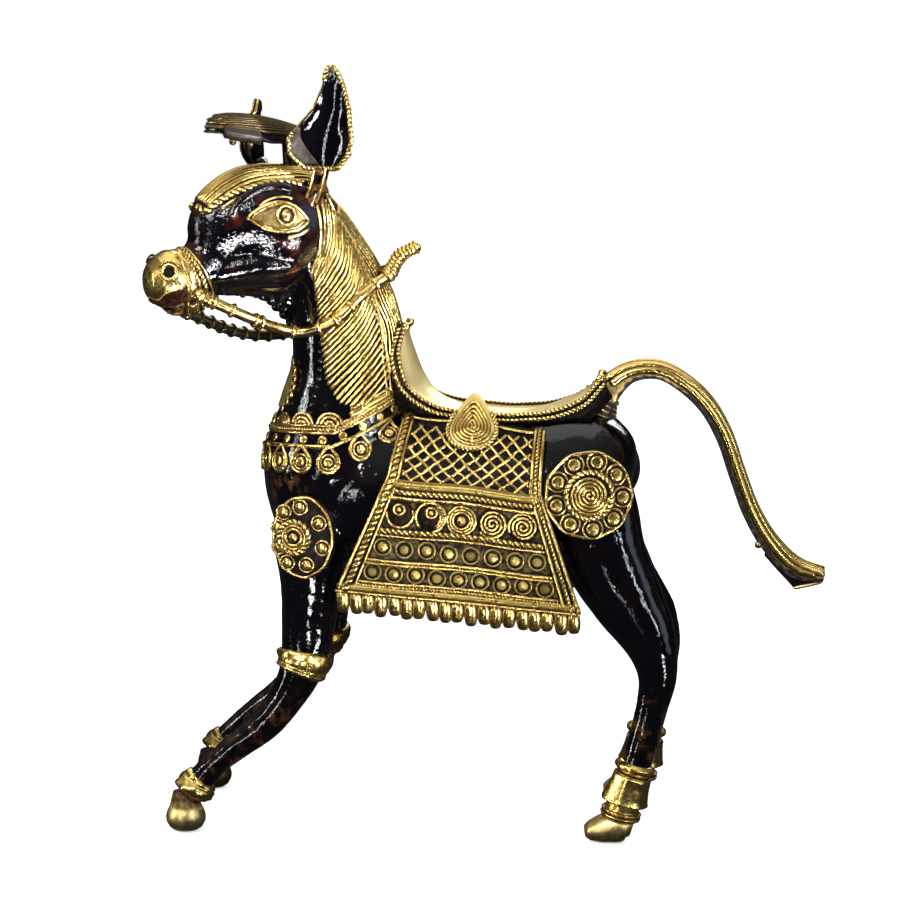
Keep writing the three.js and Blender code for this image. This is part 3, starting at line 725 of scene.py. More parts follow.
def ring(wax, centre, way, radius, width, squash=1.0, twisted=False):
    """A closed hoop of thread or rope on a flat place."""
    right, up = square_to(way)
    turn = whole_turn(48)[:, None]
    path = np.asarray(centre) + radius * (right * np.cos(turn) * squash + up * np.sin(turn))
    if twisted:
        rope(wax, path, unit(way), width, closed=True)
    else:
        thread(wax, path, unit(way), width, closed=True, lift=0.3, step=0.5)


def hoop_round(wax, centre, axis, radius, width):
    """Thread wound once round a rod; unlike ring, its crown faces away from the rod."""
    right, up = square_to(axis)
    turn = whole_turn(24)[:, None]
    ways = right * np.cos(turn) + up * np.sin(turn)
    thread(wax, np.asarray(centre) + radius * ways, ways, width, closed=True, lift=0.2)


def spiral(wax, centre, way, radius, turns, width, hand=1):
    """A thread coiled from the middle outwards, as on a coil pot."""
    right, up = square_to(way)
    share = np.linspace(0, 1, int(turns * 30))[:, None]
    turn = 0.5 + hand * 2 * math.pi * turns * share
    reach = width * 0.7 + (radius - width * 0.7) * share
    path = np.asarray(centre) + reach * (right * np.cos(turn) + up * np.sin(turn))
    thread(wax, path, unit(way), width, step=0.45)


def button(wax, centre, way, disc, hoop, width=0.36, height=0.9, shine=1.0, moat=False):
    """A small domed disc inside a hoop of thread, the commonest mark on the horse."""
    turned(wax, centre, way, [(disc, -0.3), (disc, height * 0.6), (disc * 0.88, height),
                              (disc * 0.76, height * 1.08), (disc * 0.2, height * 1.12)],
           sides=16, crown=(0, 0.2 * shine, 0.7 * shine, shine, shine))
    if moat:
        turned(wax, centre, way, [(hoop, -0.3), (hoop, 0.16), (disc * 0.5, 0.2)], sides=18, crown=(0, 0, 0))
    if hoop:
        ring(wax, centre, way, hoop, width)


def ball(wax, centre, axes, sides=12, rows=7, full=0.8):
    """An egg of wax; axes are its three half axes, the last one along its length."""
    axes = np.asarray(axes, float)
    rise = np.linspace(-1.5, 1.5, rows)
    turn = whole_turn(sides)
    circle = np.cos(turn)[:, None] * axes[0] + np.sin(turn)[:, None] * axes[1]
    rings = (np.asarray(centre) + (np.cos(rise) ** full)[:, None, None] * circle
             + np.sin(rise)[:, None, None] * axes[2])
    tube(wax, rings, np.ones((rows, sides)))


def slab(wax, place, columns, rows, crown=(1.0, 0.4)):
    """A closed plate: place(a, b, depth) with a and b from 0 to 1, depth 1 in front and 0 behind."""
    a, b = np.meshgrid(np.linspace(0, 1, columns + 1), np.linspace(0, 1, rows + 1), indexing="ij")
    a, b = a.ravel(), b.ravel()
    front, behind = place(a, b, 1.0), place(a, b, 0.0)
    half = len(front)
    quads = grid_faces(columns + 1, rows + 1)
    edge = ([k * (rows + 1) for k in range(columns + 1)]
            + [columns * (rows + 1) + k for k in range(1, rows + 1)]
            + [k * (rows + 1) + rows for k in range(columns - 1, -1, -1)]
            + [k for k in range(rows - 1, 0, -1)])
    walls = [[one, two, two + half, one + half] for one, two in zip(edge, edge[1:] + edge[:1])]
    wax.add(np.vstack((front, behind)), quads.tolist() + (quads[:, ::-1] + half).tolist() + walls,
            np.concatenate((np.full(half, crown[0]), np.full(half, crown[1]))))


print("tools for wax: thread, rope, turned, ring, spiral, button, ball, slab")

# %% [markdown]
# Some threads can be drawn straight from the picture. A sight line runs from the camera through
# a point of the picture until it meets the skin, so the thread lies on the skin there. The far
# side of the head repeats the near side, mirrored in the head's own frame.

# %% Drawing through the picture
PICTURE_MIDDLE = 460
LENS_IN_PIXELS = 3294.6
SIGHT_FROM = np.array((0, 0, AIM_HEIGHT)) + DISTANCE * np.array(back)
SIGHT_RIGHT = np.array((math.cos(AZIMUTH), math.sin(AZIMUTH), 0))
SIGHT_UP = np.cross(np.array(back), SIGHT_RIGHT)


def seen(spots, density=5):
    """Where a smooth line through picture points (of 920 by 920) falls on the skin."""
    line = [(u, v, 0) for u, v in spots]
    line = smooth_path(line, density) if len(spots) > 1 else line
    places, ways = [], []
    for u, v, _ in line:
        way = (-np.array(back) * LENS_IN_PIXELS + SIGHT_RIGHT * (u - PICTURE_MIDDLE)
               + SIGHT_UP * (PICTURE_MIDDLE - v))
        place, normal, _, _ = skin_tree.ray_cast(Vector(SIGHT_FROM), Vector(unit(way)))
        if place is not None:
            places.append(place)
            ways.append(normal)
    return np.array(places), np.array(ways)


def off_head(points):
    """How far ahead, aside and high a place lies in the head's frame."""
    x, y, z = np.asarray(points, float).T
    cos, sin = math.cos(HEAD_TURN), math.sin(HEAD_TURN)
    return -(x - POLL_X) * cos - y * sin, -(x - POLL_X) * sin + y * cos, z


def head_mirrored(points):
    ahead, aside, z = off_head(points)
    return on_head(ahead, -aside, z)


def on_both_cheeks(wax, spots, width, kind=thread, **more):
    """Lay a thread on the near cheek where the picture shows it, and mirrored on the far one."""
    places, _ = seen(spots)
    for line in (places, head_mirrored(places)):
        kind(wax, *lay(line), width, **more)


_, head_line, head_aside, head_down = loft(head_stations(HEAD), side=ASIDE)


def between_rows(table, row):
    """Every column of a table, read at a place between its rows."""
    return np.stack([np.interp(row, np.arange(len(table)), column) for column in table.T], axis=-1)


def head_round(ahead, turn, proud=0.0):
    """A place on the head's loft; turn counts from the crown towards the off side."""
    row = np.interp(ahead, [station[0] for station in HEAD], np.arange(len(HEAD)) * 8)
    line, aside, down = (between_rows(part, row) for part in (head_line, head_aside, head_down))
    _, deep, wide = read(HEAD, ahead)
    wide, deep = np.sin(turn) * (wide + proud), -np.cos(turn) * (deep + proud)
    return line + aside * wide[..., None] + down * deep[..., None]


def neck_round(turn, z, proud=0.0):
    """A place on the neck's oval; turn counts from the front towards the off side."""
    x, deep, wide = read([(pz, px, pd, pw) for px, _, pz, pd, pw in NECK], z)
    return np.stack(np.broadcast_arrays(x - np.cos(turn) * (deep + proud), np.sin(turn) * (wide + proud), z),
                    axis=-1)


def neck_spot(turn, z, proud):
    """One place on the neck and the way out of it."""
    return (part[0] for part in lay(neck_round([turn], z, proud)))


print("the eye's middle lies at", np.round(seen([(286, 215)])[0][0], 1))

# %% [markdown]
# The head comes first, since the face makes the horse. Threads are combed from the poll over the
# brow and end at a rope. Their lower edge is measured along that rope, so both sides match.

# %% Combed forehead
ROPE_LINE = [(199, 207), (203, 211), (208, 211), (214, 206), (227, 197), (245, 190), (270, 183), (286, 182),
             (302, 185)]


def head_turn_of(points):
    ahead, aside, z = off_head(points)
    middle, deep, wide = read(HEAD, ahead)
    return ahead, -np.arctan2(aside / wide, (z - middle) / deep)


rope_ahead, rope_turn = head_turn_of(seen(ROPE_LINE)[0])
order = np.argsort(rope_ahead)
rope_ahead, rope_turn = rope_ahead[order], rope_turn[order]
forehead = Wax()
for k in range(-11, 12):
    ahead = np.linspace(0.5, 31, 80)
    turn = k * 0.086 * (1 + 0.006 * ahead) + 0.012 * math.sin(k * 2.1)
    places, ways = lay(head_round(ahead, turn, 0.5))
    ahead, turn = head_turn_of(places)
    inside = (np.abs(turn) < np.interp(ahead, rope_ahead, rope_turn) - 0.02) & (ahead < rope_ahead.max())
    if inside.sum() > 5:
        thread(forehead, places[inside], ways[inside], 0.53, lift=0.5, flat=1.35)
print("rope over the brow:", np.round(rope_ahead[[0, -1]], 1), np.round(rope_turn[[0, -1]], 2))
on_both_cheeks(forehead, ROPE_LINE, 0.95, rope)
on_both_cheeks(forehead, [(222, 209), (231, 202), (247, 195), (270, 188), (288, 187)], 0.42)
forehead.cast("forehead_threads", BRASS)

# %% [markdown]
# The eye is an almond of two threads with a ring and a bead for the pupil. A dark fold of
# lacquer curls over it. The brow and the lashes are single threads.

# %% Eyes and brow
LID = [(247, 218), (256, 210), (268, 204), (281, 202), (296, 207), (309, 221)]
UNDER_LID = [(309, 221), (299, 229), (284, 232), (266, 229), (247, 218)]
eyes = Wax()
eye_middle = np.array((281, 216.5))


def inward(spots, share):
    return [tuple(eye_middle + (np.array(spot) - eye_middle) * share) for spot in spots]


for share, width in ((1.0, 0.36), (0.85, 0.22)):
    for lid in (LID, UNDER_LID):
        on_both_cheeks(eyes, inward(lid, share), width)
for spots, width in (([(259, 206), (270, 199), (284, 197), (293, 199)], 0.30),
                     ([(288, 237), (298, 235), (309, 229)], 0.42)):
    on_both_cheeks(eyes, spots, width)
pupil = seen([(286, 215.5)])[0][0]
for middle, hand in ((pupil, 1), (head_mirrored([pupil])[0], -1)):
    place, way = (part[0] for part in lay([middle]))
    turned(eyes, place, way, [(2.2, -0.2), (2.2, 0.42), (1.0, 0.45)], sides=24, crown=(0, 0, 0))
    ring(eyes, place + way * 0.2, way, 2.35, 0.36)
    turned(eyes, place, way, [(1.65, -0.2), (1.6, 0.75), (1.15, 1.15), (0.4, 1.3)], sides=20, squash=0.74,
           crown=(0, 0.6, 1, 1))
eyes.cast("eye_threads", BRASS)

whites = Wax()


def almond(mirror):
    """The flat of the eye inside its lids."""
    top = np.array([seen([spot])[0][0] for spot in inward(LID, 0.8)])
    under = np.array([seen([spot])[0][0] for spot in inward(UNDER_LID[::-1], 0.8)])
    top, under = smooth_path(top, 4), smooth_path(under, 5)
    top = top[np.linspace(0, len(top) - 1, 18).astype(int)]
    under = under[np.linspace(0, len(under) - 1, 18).astype(int)]

    def place(a, b, depth):
        k = np.rint(a * 17).astype(int)
        flat = top[k] * b[:, None] + under[k] * (1 - b[:, None])
        flat = head_mirrored(flat) if mirror else flat
        places, ways = lay(flat)
        return places + ways * (0.28 if depth else -0.6)

    slab(whites, place, 17, 6, crown=(0.43, 0.2))


almond(False)
almond(True)
whites.cast("eye_flats", DARK_BRASS)
brow = Wax()
on_both_cheeks(brow, [(231, 219), (236, 206), (246, 197), (262, 189), (278, 187), (292, 191)], 1.25,
               sides=12, lift=0.1, taper=0.4)
brow.cast("brow_fold", LACQUER, {"worn": np.zeros(brow.total), "blush": np.ones(brow.total)})

# %% [markdown]
# Wax ran down the throat before the casting and set in small drips. They are lumps pressed into
# the skin along the jaw, a plainer edge than the torn one in the photograph.

# %% Drips under the jaw
drips = Wax()
for u, v, size in ((224, 293, 0.7), (243, 295, 0.8), (262, 297, 0.9), (272, 299, 1.2), (279, 303, 1.3),
                   (284, 308, 1.5), (288, 314, 1.6), (291, 321, 1.3)):
    for middle in seen([(u, v)])[0]:
        for place in (middle, head_mirrored([middle])[0]):
            ball(drips, place + np.array((-0.2 * size, 0.5, -0.25 * size)), np.diag((size, 1.1, size * 0.8)),
                 sides=10)
drips.cast("throat_drips", LACQUER, {"worn": np.zeros(drips.total), "blush": np.zeros(drips.total)})

# %% [markdown]
# Two wires run down behind each cheek, and the bridle's noseband circles the muzzle. The muzzle
# itself is rubbed bright. It is the end of the head's own loft, a quarter of a millimetre proud.

# %% Muzzle and bridle
bridle = Wax()
for shift in (0, 6):
    on_both_cheeks(bridle, [(307 + shift, 187), (316 + shift, 205), (320 + shift, 228),
                            (319 + shift, 250), (311 + shift, 274)], 0.45)
around = np.linspace(-math.pi, math.pi, 72, endpoint=False)
for offset, width, twisted in ((-1.6, 0.42, False), (0.9, 0.55, True), (2.1, 0.72, True), (3.3, 0.36, False)):
    loop = lay(head_round(36.4 - offset + 0 * around, around, 0.6))
    (rope if twisted else thread)(bridle, *loop, width, closed=True)
strap = lay(head_round(36.8 + 0 * around, around, 0.6))
thread(bridle, *strap, 1.25, closed=True, flat=0.34, sides=10, lift=0.6)
bridle.cast("bridle", BRASS)

rings = loft(head_stations(HEAD), side=ASIDE, sides=72, per_span=14, proud=lambda share: 0.28)[0][7 * 14:]
muzzle = Wax()
points, faces = closed_skin(rings[:, ::-1])
EDGE_AHEAD, EDGE_HEIGHT = 41.5, 141.0  # a place on the slanting line under which it stays brown
ahead, _, z = off_head(points)
bright = (z - EDGE_HEIGHT + 0.6 * (ahead - EDGE_AHEAD) + 0.3 * np.sin(points[:, 0] * 1.1)
          + 0.3 * np.sin(points[:, 1] * 2.3))
muzzle.add(points, faces, np.clip(bright / 2.4, 0, 1))
nostrils = Wax()
for hand in (NEAR, OFF):
    way = unit(on_head(0.75, hand, 0.35) - on_head(0, 0, 0))
    middle = head_round(np.array(42.4), np.array(hand * 1.12), 0.3)
    ring(muzzle, middle, way, 1.9, 0.55)
    turned(nostrils, middle, way, [(1.6, -0.8), (1.6, 0.42), (1.0, 0.36), (0.3, 0.32)], sides=16,
           crown=(0, 0, 0, 0))
    comma = [middle + unit(np.cross(way, (0, 0, 1))) * -hand * math.cos(t) * 2.9
             + np.array((0, 0, math.sin(t) * 2.9))
             for t in np.linspace(0.4, 2.9, 12)]
    thread(muzzle, comma, way, 0.32, lift=-0.4)
for spots, wax, width in (([(152, 299), (160, 304), (172, 306), (184, 303)], nostrils, 0.42),
                          ([(158, 311), (168, 315), (180, 313)], muzzle, 0.34)):
    on_both_cheeks(wax, spots, width)
muzzle.cast("muzzle", POLISHED_BRASS)
nostrils.cast("nostrils", SMOKED_AND_SHADED_BRASS)

# %% [markdown]
# An ear is a leaf, scooped towards the front and held on a stalk. The table gives its half width
# and its bend at each height. Rope runs round the rim, as a founder hides a cut edge.

# %% Ears
EAR_LEAF = [(0, 3.4, 0), (0.17, 7.5, 0.9), (0.3, 8.1, 0.9), (0.42, 6.7, 0.3), (0.6, 4.5, -0.8),
            (0.8, 2.7, -0.2), (1, 1, 1.2)]


def ear_place(foot, height, lean, facing, scale):
    outward = unit(facing)
    across = unit(np.cross(outward, (0, 0, 1)))

    def place(a, b, depth):
        half, bend = read(EAR_LEAF, b)
        half = half * np.sqrt(np.clip(1.02 - np.clip(b - 0.93, 0, 1) * 9, 0.25, 1))
        sideways = (np.asarray(a) - 0.5) * 2
        curl = 3.4 * scale * sideways ** 2 * np.sin(np.minimum(b + 0.15, 1) * math.pi)
        deep = curl + (0.55 if depth else -0.75)
        return (np.asarray(foot) + np.outer(b, np.array((0, 0, height)) + lean)
                + np.outer((sideways * half + bend) * scale, across) + np.outer(deep, outward))

    return place, outward


EARS = {"near": (((-33.2, -12, 170.5), 26.3, np.array((3.4, 0, 0)), (-0.1, -1, 0.1), 1),
                 [(-36.6, -9.5, 162, 2.6, 3.2), (-34.6, -11, 167, 1.9, 2.6), (-33.4, -12, 171.6, 1.8, 3.6)]),
        "off": (((-52.8, 9, 169.5), 17, np.array((-0.6, 0, 0)), (-1, 0.12, 0.1), 0.78),
                [(-46.6, 4.6, 160, 3, 3.4), (-50.6, 7.8, 167, 1.9, 2.5), (-52.8, 9, 171, 1.5, 2.8)])}
rim = Wax()
for name, (leaf_of, stalk) in EARS.items():
    place, outward = ear_place(*leaf_of)
    leaf = Wax()
    slab(leaf, place, 24, 44, crown=(0.9, 0.9))
    cool = leaf.total
    leaf.add(*closed_skin(loft(stalk, sides=20, per_span=8)[0][:, ::-1]))
    leaf.cast(f"{name}_ear", LACQUER, {"worn": np.where(np.arange(leaf.total) < cool, 0.0, 0.8)})
    side_up = np.linspace(0.04, 0.985, 44)
    side_down = np.linspace(0.36 if name == "near" else 0.985, 0.04, 30)
    foot_of = np.linspace(0.98, 0.02, 16)
    edge = np.concatenate((np.ones(30), foot_of, np.zeros(44), np.linspace(0.1, 0.9, 6), np.ones(6)))
    height = np.concatenate((side_down, np.full(16, 0.03), side_up, np.full(6, 0.99),
                             np.linspace(0.98, 0.86, 6)))
    path = place(edge, height, 1.0)
    ways = unit(outward + 0.35 * unit(path - place(np.full(len(edge), 0.5), height, 1.0)))
    rope(rim, path, ways, 0.66 if name == "near" else 0.42)
    if name == "near":
        rope(rim, path[18:54] + outward * -1.0, ways[18:54] - outward * 0.8, 0.6)
        front = place(np.ones(30), np.linspace(0.88, 0.36, 30), 0.4)
        thread(rim, front, unit(front - place(np.full(30, 0.5), np.linspace(0.88, 0.36, 30), 0.4)), 0.30,
               shine=0.6)
        flap = Wax()
        slab(flap, lambda a, b, depth: place(1 - a * (0.42 - 0.38 * b), 0.06 + b * 0.36, depth)
             + outward * (0.3 if depth else 0), 10, 14, crown=(0.34, 0.3))
        flap.cast("ear_flap", GREY_CAST_AND_REFLECTION)
    else:
        thread(rim, path[66:] + outward * -0.8, ways[66:] - outward * 0.8, 0.42)
    stalk_line = smooth_path(np.array(stalk)[:, :3], 8)
    for aside in (-0.9, 0.9):
        thread(rim, stalk_line + outward * 2.2 + unit(np.cross(outward, (0, 0, 1))) * aside * 1.6,
               outward, 0.45)
rim.cast("ear_rims", BRASS)

# %% [markdown]
# The forelock is a leaf of combed threads that stands forward over the brow. Its threads run
# past the end of the leaf and fray, so the tip looks torn and not cut.

# %% Forelock
PLUME_LEAF = [(0, 2.6), (0.15, 4.6), (0.4, 6), (0.7, 5.2), (0.88, 3.6), (1, 2.2)]
PLUME_ROLL = 0.46


def plume(a, sideways, lift=0.0):
    """A place on the forelock: along it from 0 to 1, and millimetres to the side."""
    a, sideways = np.broadcast_arrays(np.asarray(a, float), np.asarray(sideways, float))
    height = 178.6 + 2.6 * np.sin(a * 2.2) + 1.4 * a
    camber = -0.03 * sideways ** 2 + lift
    cos, sin = math.cos(PLUME_ROLL), math.sin(PLUME_ROLL)
    return on_head(3 + a * 27.5, sideways * cos - camber * sin, height + sideways * sin + camber * cos)


plume_way = unit(on_head(0, -math.sin(PLUME_ROLL), math.cos(PLUME_ROLL)) - on_head(0, 0, 0))
forelock = Wax()
slab(forelock, lambda a, b, depth: plume(a * 0.84, (b - 0.5) * 2 * read(PLUME_LEAF, a * 0.84)[0] * 0.96,
                                         0.35 if depth else -0.6),
     24, 8, crown=(0.1, 0.0))
for k in range(-3, 6):
    share = k / 5.3
    fray = 0.88 + 0.03 * math.sin(k * 3.7) + 0.10 * (k % 3 == 0) - 0.05 * (k % 3 == 1)
    along = np.linspace(0.02, fray, 40)
    flare = 1 + 0.25 * np.clip(along - 0.93, 0, 1) * (k % 2)
    sideways = share * read(PLUME_LEAF, np.minimum(along, 1))[0] * flare
    for face in (1, -1):
        thread(forelock, plume(along, sideways, 0.35 if face > 0 else -0.6),
               plume_way * face, 0.44, flat=1.2, taper=0.3)
# Painted reflection: this smooth strip on the forelock's near edge is coloured grey for the white floor it
# reflects.
painted_reflection_side = Wax()
slab(painted_reflection_side, lambda a, b, depth: plume(0.50 + a * 0.34,
                                            -(0.60 + 0.42 * b) * read(PLUME_LEAF, 0.50 + a * 0.34)[0],
                                            0.95 if depth else -1.2), 12, 4, crown=(0.42, 0.3))
painted_reflection_side.cast("forelock_painted_reflection", GREY_CAST_AND_REFLECTION)
for a in (0.76, 0.60):
    ball(forelock, plume(a, -float(read(PLUME_LEAF, a)[0]), -1.7), np.eye(3) * 0.95)
# Painted shade: the forelock is cast near black for the shade it shows from below.
forelock.cast("forelock", SMOKED_AND_SHADED_BRASS)
stems = Wax()
stems.add(*closed_skin(loft([(-42.4, -3, 166, 3, 3.4), (-43, -3.2, 172, 1.9, 2.6),
                             (-43, -3.4, 179.4, 2.2, 3.4)],
                            sides=20)[0][:, ::-1]))
stems.cast("forelock_stem", LACQUER, {"worn": np.zeros(stems.total)})

# %% [markdown]
# The reins are round rods of wax with thread wound on them. The near rein has a few rings and
# ends free above the mane. The far one is ringed all along, which shows under the jaw, and is
# cast in near black brass as painted shade, where the near one is bright.

# %% Reins
NEAR_REIN = [(-62.8, -24.5, 140.2), (-56, -22.5, 136.8), (-49.9, -19, 133.5), (-44.2, -13.6, 130.6),
             (-39.8, -11.6, 129.5), (-34.3, -12.7, 130.9), (-29.9, -12.9, 133.2), (-24.9, -10.6, 138),
             (-21, -6, 141.4), (-17.8, -4, 143.6), (-15, -3, 148.2), (-10.1, -1.5, 150.9)]
OFF_REIN = [(-68.8, -13, 134.4), (-64.1, -8, 131.5), (-59.7, -2, 128.4), (-54.6, 4, 126.3),
            (-48.6, 9.2, 125.6), (-41, 13.2, 127), (-33, 14, 131), (-26, 12.6, 137.4), (-20.6, 8, 142.2),
            (-17, 1, 144.6)]


def picture(points):
    """Where places fall in the picture."""
    away = np.asarray(points, float) - SIGHT_FROM
    scale = LENS_IN_PIXELS / -(away @ np.array(back))
    return PICTURE_MIDDLE + scale * (away @ SIGHT_RIGHT), PICTURE_MIDDLE - scale * (away @ SIGHT_UP)


reins = Wax()
near_rod, far_rod = smooth_path(NEAR_REIN, 14), smooth_path(OFF_REIN, 14)
cross_rod = smooth_path([head_round(np.array(36), np.array(-2.0), 0.4), (-66.6, -21, 136.6), OFF_REIN[0]], 10)
# Painted shade: the far rein is a near black copy of the bright near rein.
shaded_rein = Wax()
for wax, rod in ((reins, near_rod), (shaded_rein, far_rod), (reins, cross_rod)):
    thread(wax, rod, (0, -0.4, 1.0), 1.40, sides=14, lift=0.0, step=0.5)
rod_directions = unit(np.gradient(near_rod, axis=0))
rod_u, rod_v = picture(near_rod)
for u, v in ((212, 298), (216, 300), (233, 311), (256, 320), (261, 321), (293, 331), (320, 327), (335, 319),
             (339, 317), (352, 309), (376, 287), (385, 273), (389, 270)):
    k = int(np.argmin((rod_u - u) ** 2 + (rod_v - v) ** 2))
    hoop_round(reins, near_rod[k], rod_directions[k], 1.42, 0.55)
for wax, rod, gap in ((shaded_rein, far_rod, 7), (reins, cross_rod, 4)):
    directions = unit(np.gradient(rod, axis=0))
    for k in range(2, len(rod) - 2, gap):
        hoop_round(wax, rod[k], directions[k], 1.42, 0.45)
rein_end = even(near_rod[-30:], (0, -0.4, 1.0), 0.2)[0]
for k in np.arange(2, len(rein_end) - 2, 5):
    hoop_round(reins, rein_end[k], unit(rein_end[k + 1] - rein_end[k - 1]) + np.array((0.35, 0, 0.1)),
               1.45 - 0.45 * k / len(rein_end) + 0.08 * math.sin(k), 0.66)
for spot in ((202, 293), (207, 297)):
    middle = seen([spot])[0]
    if len(middle):
        ball(reins, middle[0], np.eye(3) * 1.5)
ball(reins, near_rod[0], np.eye(3) * 1.9)
reins.cast("reins", BRASS)
shaded_rein.cast("rein_far_painted_shade", SMOKED_AND_SHADED_BRASS)

# %% [markdown]
# Combed threads make the mane. They leave a wire along the crest, fan down and forward, and stop
# in a ragged line over the throat. The strip between wire and crest is combed along the neck.
# The threads lie wider apart than in the photograph, because finer ones closed their grooves.
# The far side has the same comb with fewer threads.

# %% Mane


def collar_z(turn):
    """Height of the necklace's rope round the neck."""
    turn = np.abs(turn)
    return 103.2 + 8 * np.maximum(0, -np.cos(turn)) + 2.6 * np.sin(np.minimum(turn, math.pi / 2))


COMB_TOP = [(320, 196), (334, 213), (350, 238), (362, 262), (371, 287), (378, 315), (384, 345), (389, 374)]
COMB_MID = [(323, 238), (336, 251), (347, 274), (354, 296), (358, 320), (361, 346), (365, 372), (375, 392)]
COMB_END = [(314, 274), (315, 292), (318, 314), (321, 334), (323, 358), (326, 382), (338, 404), (360, 410)]


def comb_line(share):
    """One thread of the comb in the picture, from the crest wire to its end."""
    rows = np.array((COMB_TOP, COMB_MID, COMB_END), float)
    at = np.linspace(0, 1, rows.shape[1])
    return [tuple(np.interp(share, at, column) for column in row.T) for row in rows]


def mane(hand, count, name):
    wax = Wax()
    for row in range(count):
        places, _ = seen(comb_line(row / (count - 1)), density=14)
        if len(places) > 4:
            places = places * np.array((1, -hand, 1))
            thread(wax, *lay(places), 0.47 + 0.05 * math.sin(row * 2.3), lift=0.6, flat=1.4, taper=0.3)
    for turn in np.arange(2.36, 3.2, 0.085):
        z = np.linspace(160 - 3 * (3.1 - turn), collar_z(turn) + 2.0, 60)
        thread(wax, *lay(neck_round(hand * (turn + 0.03 * np.sin(z * 0.4)), z, 0.4)), 0.40, lift=0.5,
               flat=1.3, taper=0.3, shine=0.72)
    crest, _ = seen([(325, 194), *COMB_TOP[1:]], density=6)
    thread(wax, *lay(crest * np.array((1, -hand, 1))), 0.62)
    wax.cast(name, AGED_BRASS)


mane(NEAR, 31, "mane_near")
mane(OFF, 27, "mane_far")

# %% [markdown]
# Over the throat hangs a plain plate with a row of beads, and a strip of lacquer with fine beads
# parts it from the mane.

# %% Throat plate and beads
bib = Wax()


def bib_place(a, b, depth):
    turn = (a - 0.5) * (0.85 + 0.45 * np.sin(b * math.pi * 0.9))
    places, ways = lay(neck_round(turn, 121.5 - 12.5 * b, 0.3))
    return places + ways * (0.4 if depth else -0.6)


slab(bib, bib_place, 16, 20)
bib.cast("throat_plate", PALE_BRASS)
beads, black_beads = Wax(), Wax()
for hand in (NEAR, OFF):
    for k in range(7):
        place, way = neck_spot(hand * (0.46 + 0.22 * math.sin(k / 6 * math.pi * 0.9)), 120.8 - k * 1.95, 0.3)
        button(beads, place, way, 0.95, 0)
    for k in range(10):
        place, way = neck_spot(hand * (1.24 - 0.012 * k), 129 - k * 2.2, 0.3)
        ball(black_beads, place + way * 0.05, np.eye(3) * 0.7, sides=8, rows=5)
beads.cast("throat_beads", BRASS)
black_beads.cast("black_beads", LACQUER)

# %% [markdown]
# The necklace is a rope with scallops above and a beaded band below. Teardrop pendants hang from
# it, each a bent wire round a ring and a disc.

# %% Necklace
necklace = Wax()
around = np.linspace(-math.pi, math.pi, 160, endpoint=False)


def around_neck(drop):
    return lay(neck_round(around, collar_z(around) - drop, 0.4))


thread(necklace, *around_neck(-0.6), 0.42, closed=True)
rope(necklace, *around_neck(0.35), 0.62, closed=True, pitch=1.7)
thread(necklace, *around_neck(1.2), 0.34, closed=True)
thread(necklace, *around_neck(4.5), 0.52, closed=True)
for turn in np.arange(-2.85, 2.9, 0.285):
    place, way = neck_spot(turn, collar_z(turn) - 2.85, 0.5)
    button(necklace, place, way, 1.12, 0, height=0.5, shine=0.8 + 0.2 * math.sin(turn * 9))
for lift, width in ((1.7, 1.0), (3.2, 0.42)):
    for hand in (NEAR, OFF):
        swing = hand * np.linspace(1.78, 2.9, 40)
        thread(necklace, *lay(neck_round(swing, collar_z(swing) + lift, 0.5)), width,
               flat=0.45 if width > 0.5 else 1)


def scallop(turn, radii):
    """Concentric half rings that stand on the rope."""
    place, way = neck_spot(turn, collar_z(turn) + 0.7, 0.5)
    right, up = square_to(way)
    swing = np.linspace(0, math.pi, 20)[:, None]
    for radius in radii:
        path, ways = lay(place + radius * (right * np.cos(swing) + up * np.sin(swing)), abs(turn) * 0.4)
        thread(necklace, path, ways, 0.42)
    turned(necklace, place + up * 0.5, way, [(0.55, -0.2), (0.5, 0.5), (0.2, 0.7)], sides=8)


for turn, radii in ((0.22, (1.0, 1.8, 2.5)), (0.66, (1.0, 1.9, 2.8)), (1.06, (1.1, 2.1, 3.1)),
                    (1.50, (1.1, 2.2, 3.2))):
    for hand in (NEAR, OFF):
        scallop(hand * turn, radii if hand == NEAR else radii[:2])


def pendant(turn, near):
    place, way = neck_spot(turn, collar_z(turn) - 8.4, 0.5)
    right, up = square_to(way)
    swing = whole_turn(40)[:, None]
    point = np.clip(np.cos(swing), 0, 1) ** 6
    path, ways = lay(place + right * np.sin(swing) * 2.75 * (1 - 0.5 * point)
                     + up * (np.cos(swing) * 2.75 + 1.5 * point))
    thread(necklace, path, ways, 0.48, closed=True)
    button(necklace, place, way, 1.25, 1.9 if near else 0, width=0.28, height=0.7, shine=0.8, moat=near)
    button(necklace, lay([place + up * 3.9])[0][0], way, 0.55, 0)


for turn in (0.12, 0.46, 0.80, 1.16, 1.55, 1.98, 2.42):
    pendant(-turn, True)
for turn in (0.5, 1.1, 1.7, 2.3):
    pendant(turn, False)
for spots in ([(393, 390), (404, 398), (418, 411)], [(397, 400), (407, 408), (415, 419)],
              [(402, 386), (416, 395), (430, 406)], [(400, 394), (396, 406), (394, 416)],
              [(411, 394), (405, 408), (402, 420)], [(423, 397), (416, 408), (411, 420)]):
    places, ways = seen(spots)
    if len(places) > 3:
        rope(necklace, *lay(places), 0.55, pitch=1.9)
        rope(necklace, *lay(places * np.array((1, -1, 1))), 0.55, pitch=1.9)
necklace.cast("necklace", BRASS)

# %% [markdown]
# A medallion is a low dome with buttons round a coil. It is built flat in its own frame and then
# stood on the flank, as a founder would lay a finished disc on the horse.

# %% Medallions
SHOULDER_SPOTS = [(-0.6, 7.7), (-5.0, 6.2), (4.4, 3.9), (-6.5, 2.2), (5.4, -2.4), (-6.3, -2.7), (-4.0, -6.7),
                  (1.2, -7.0)]


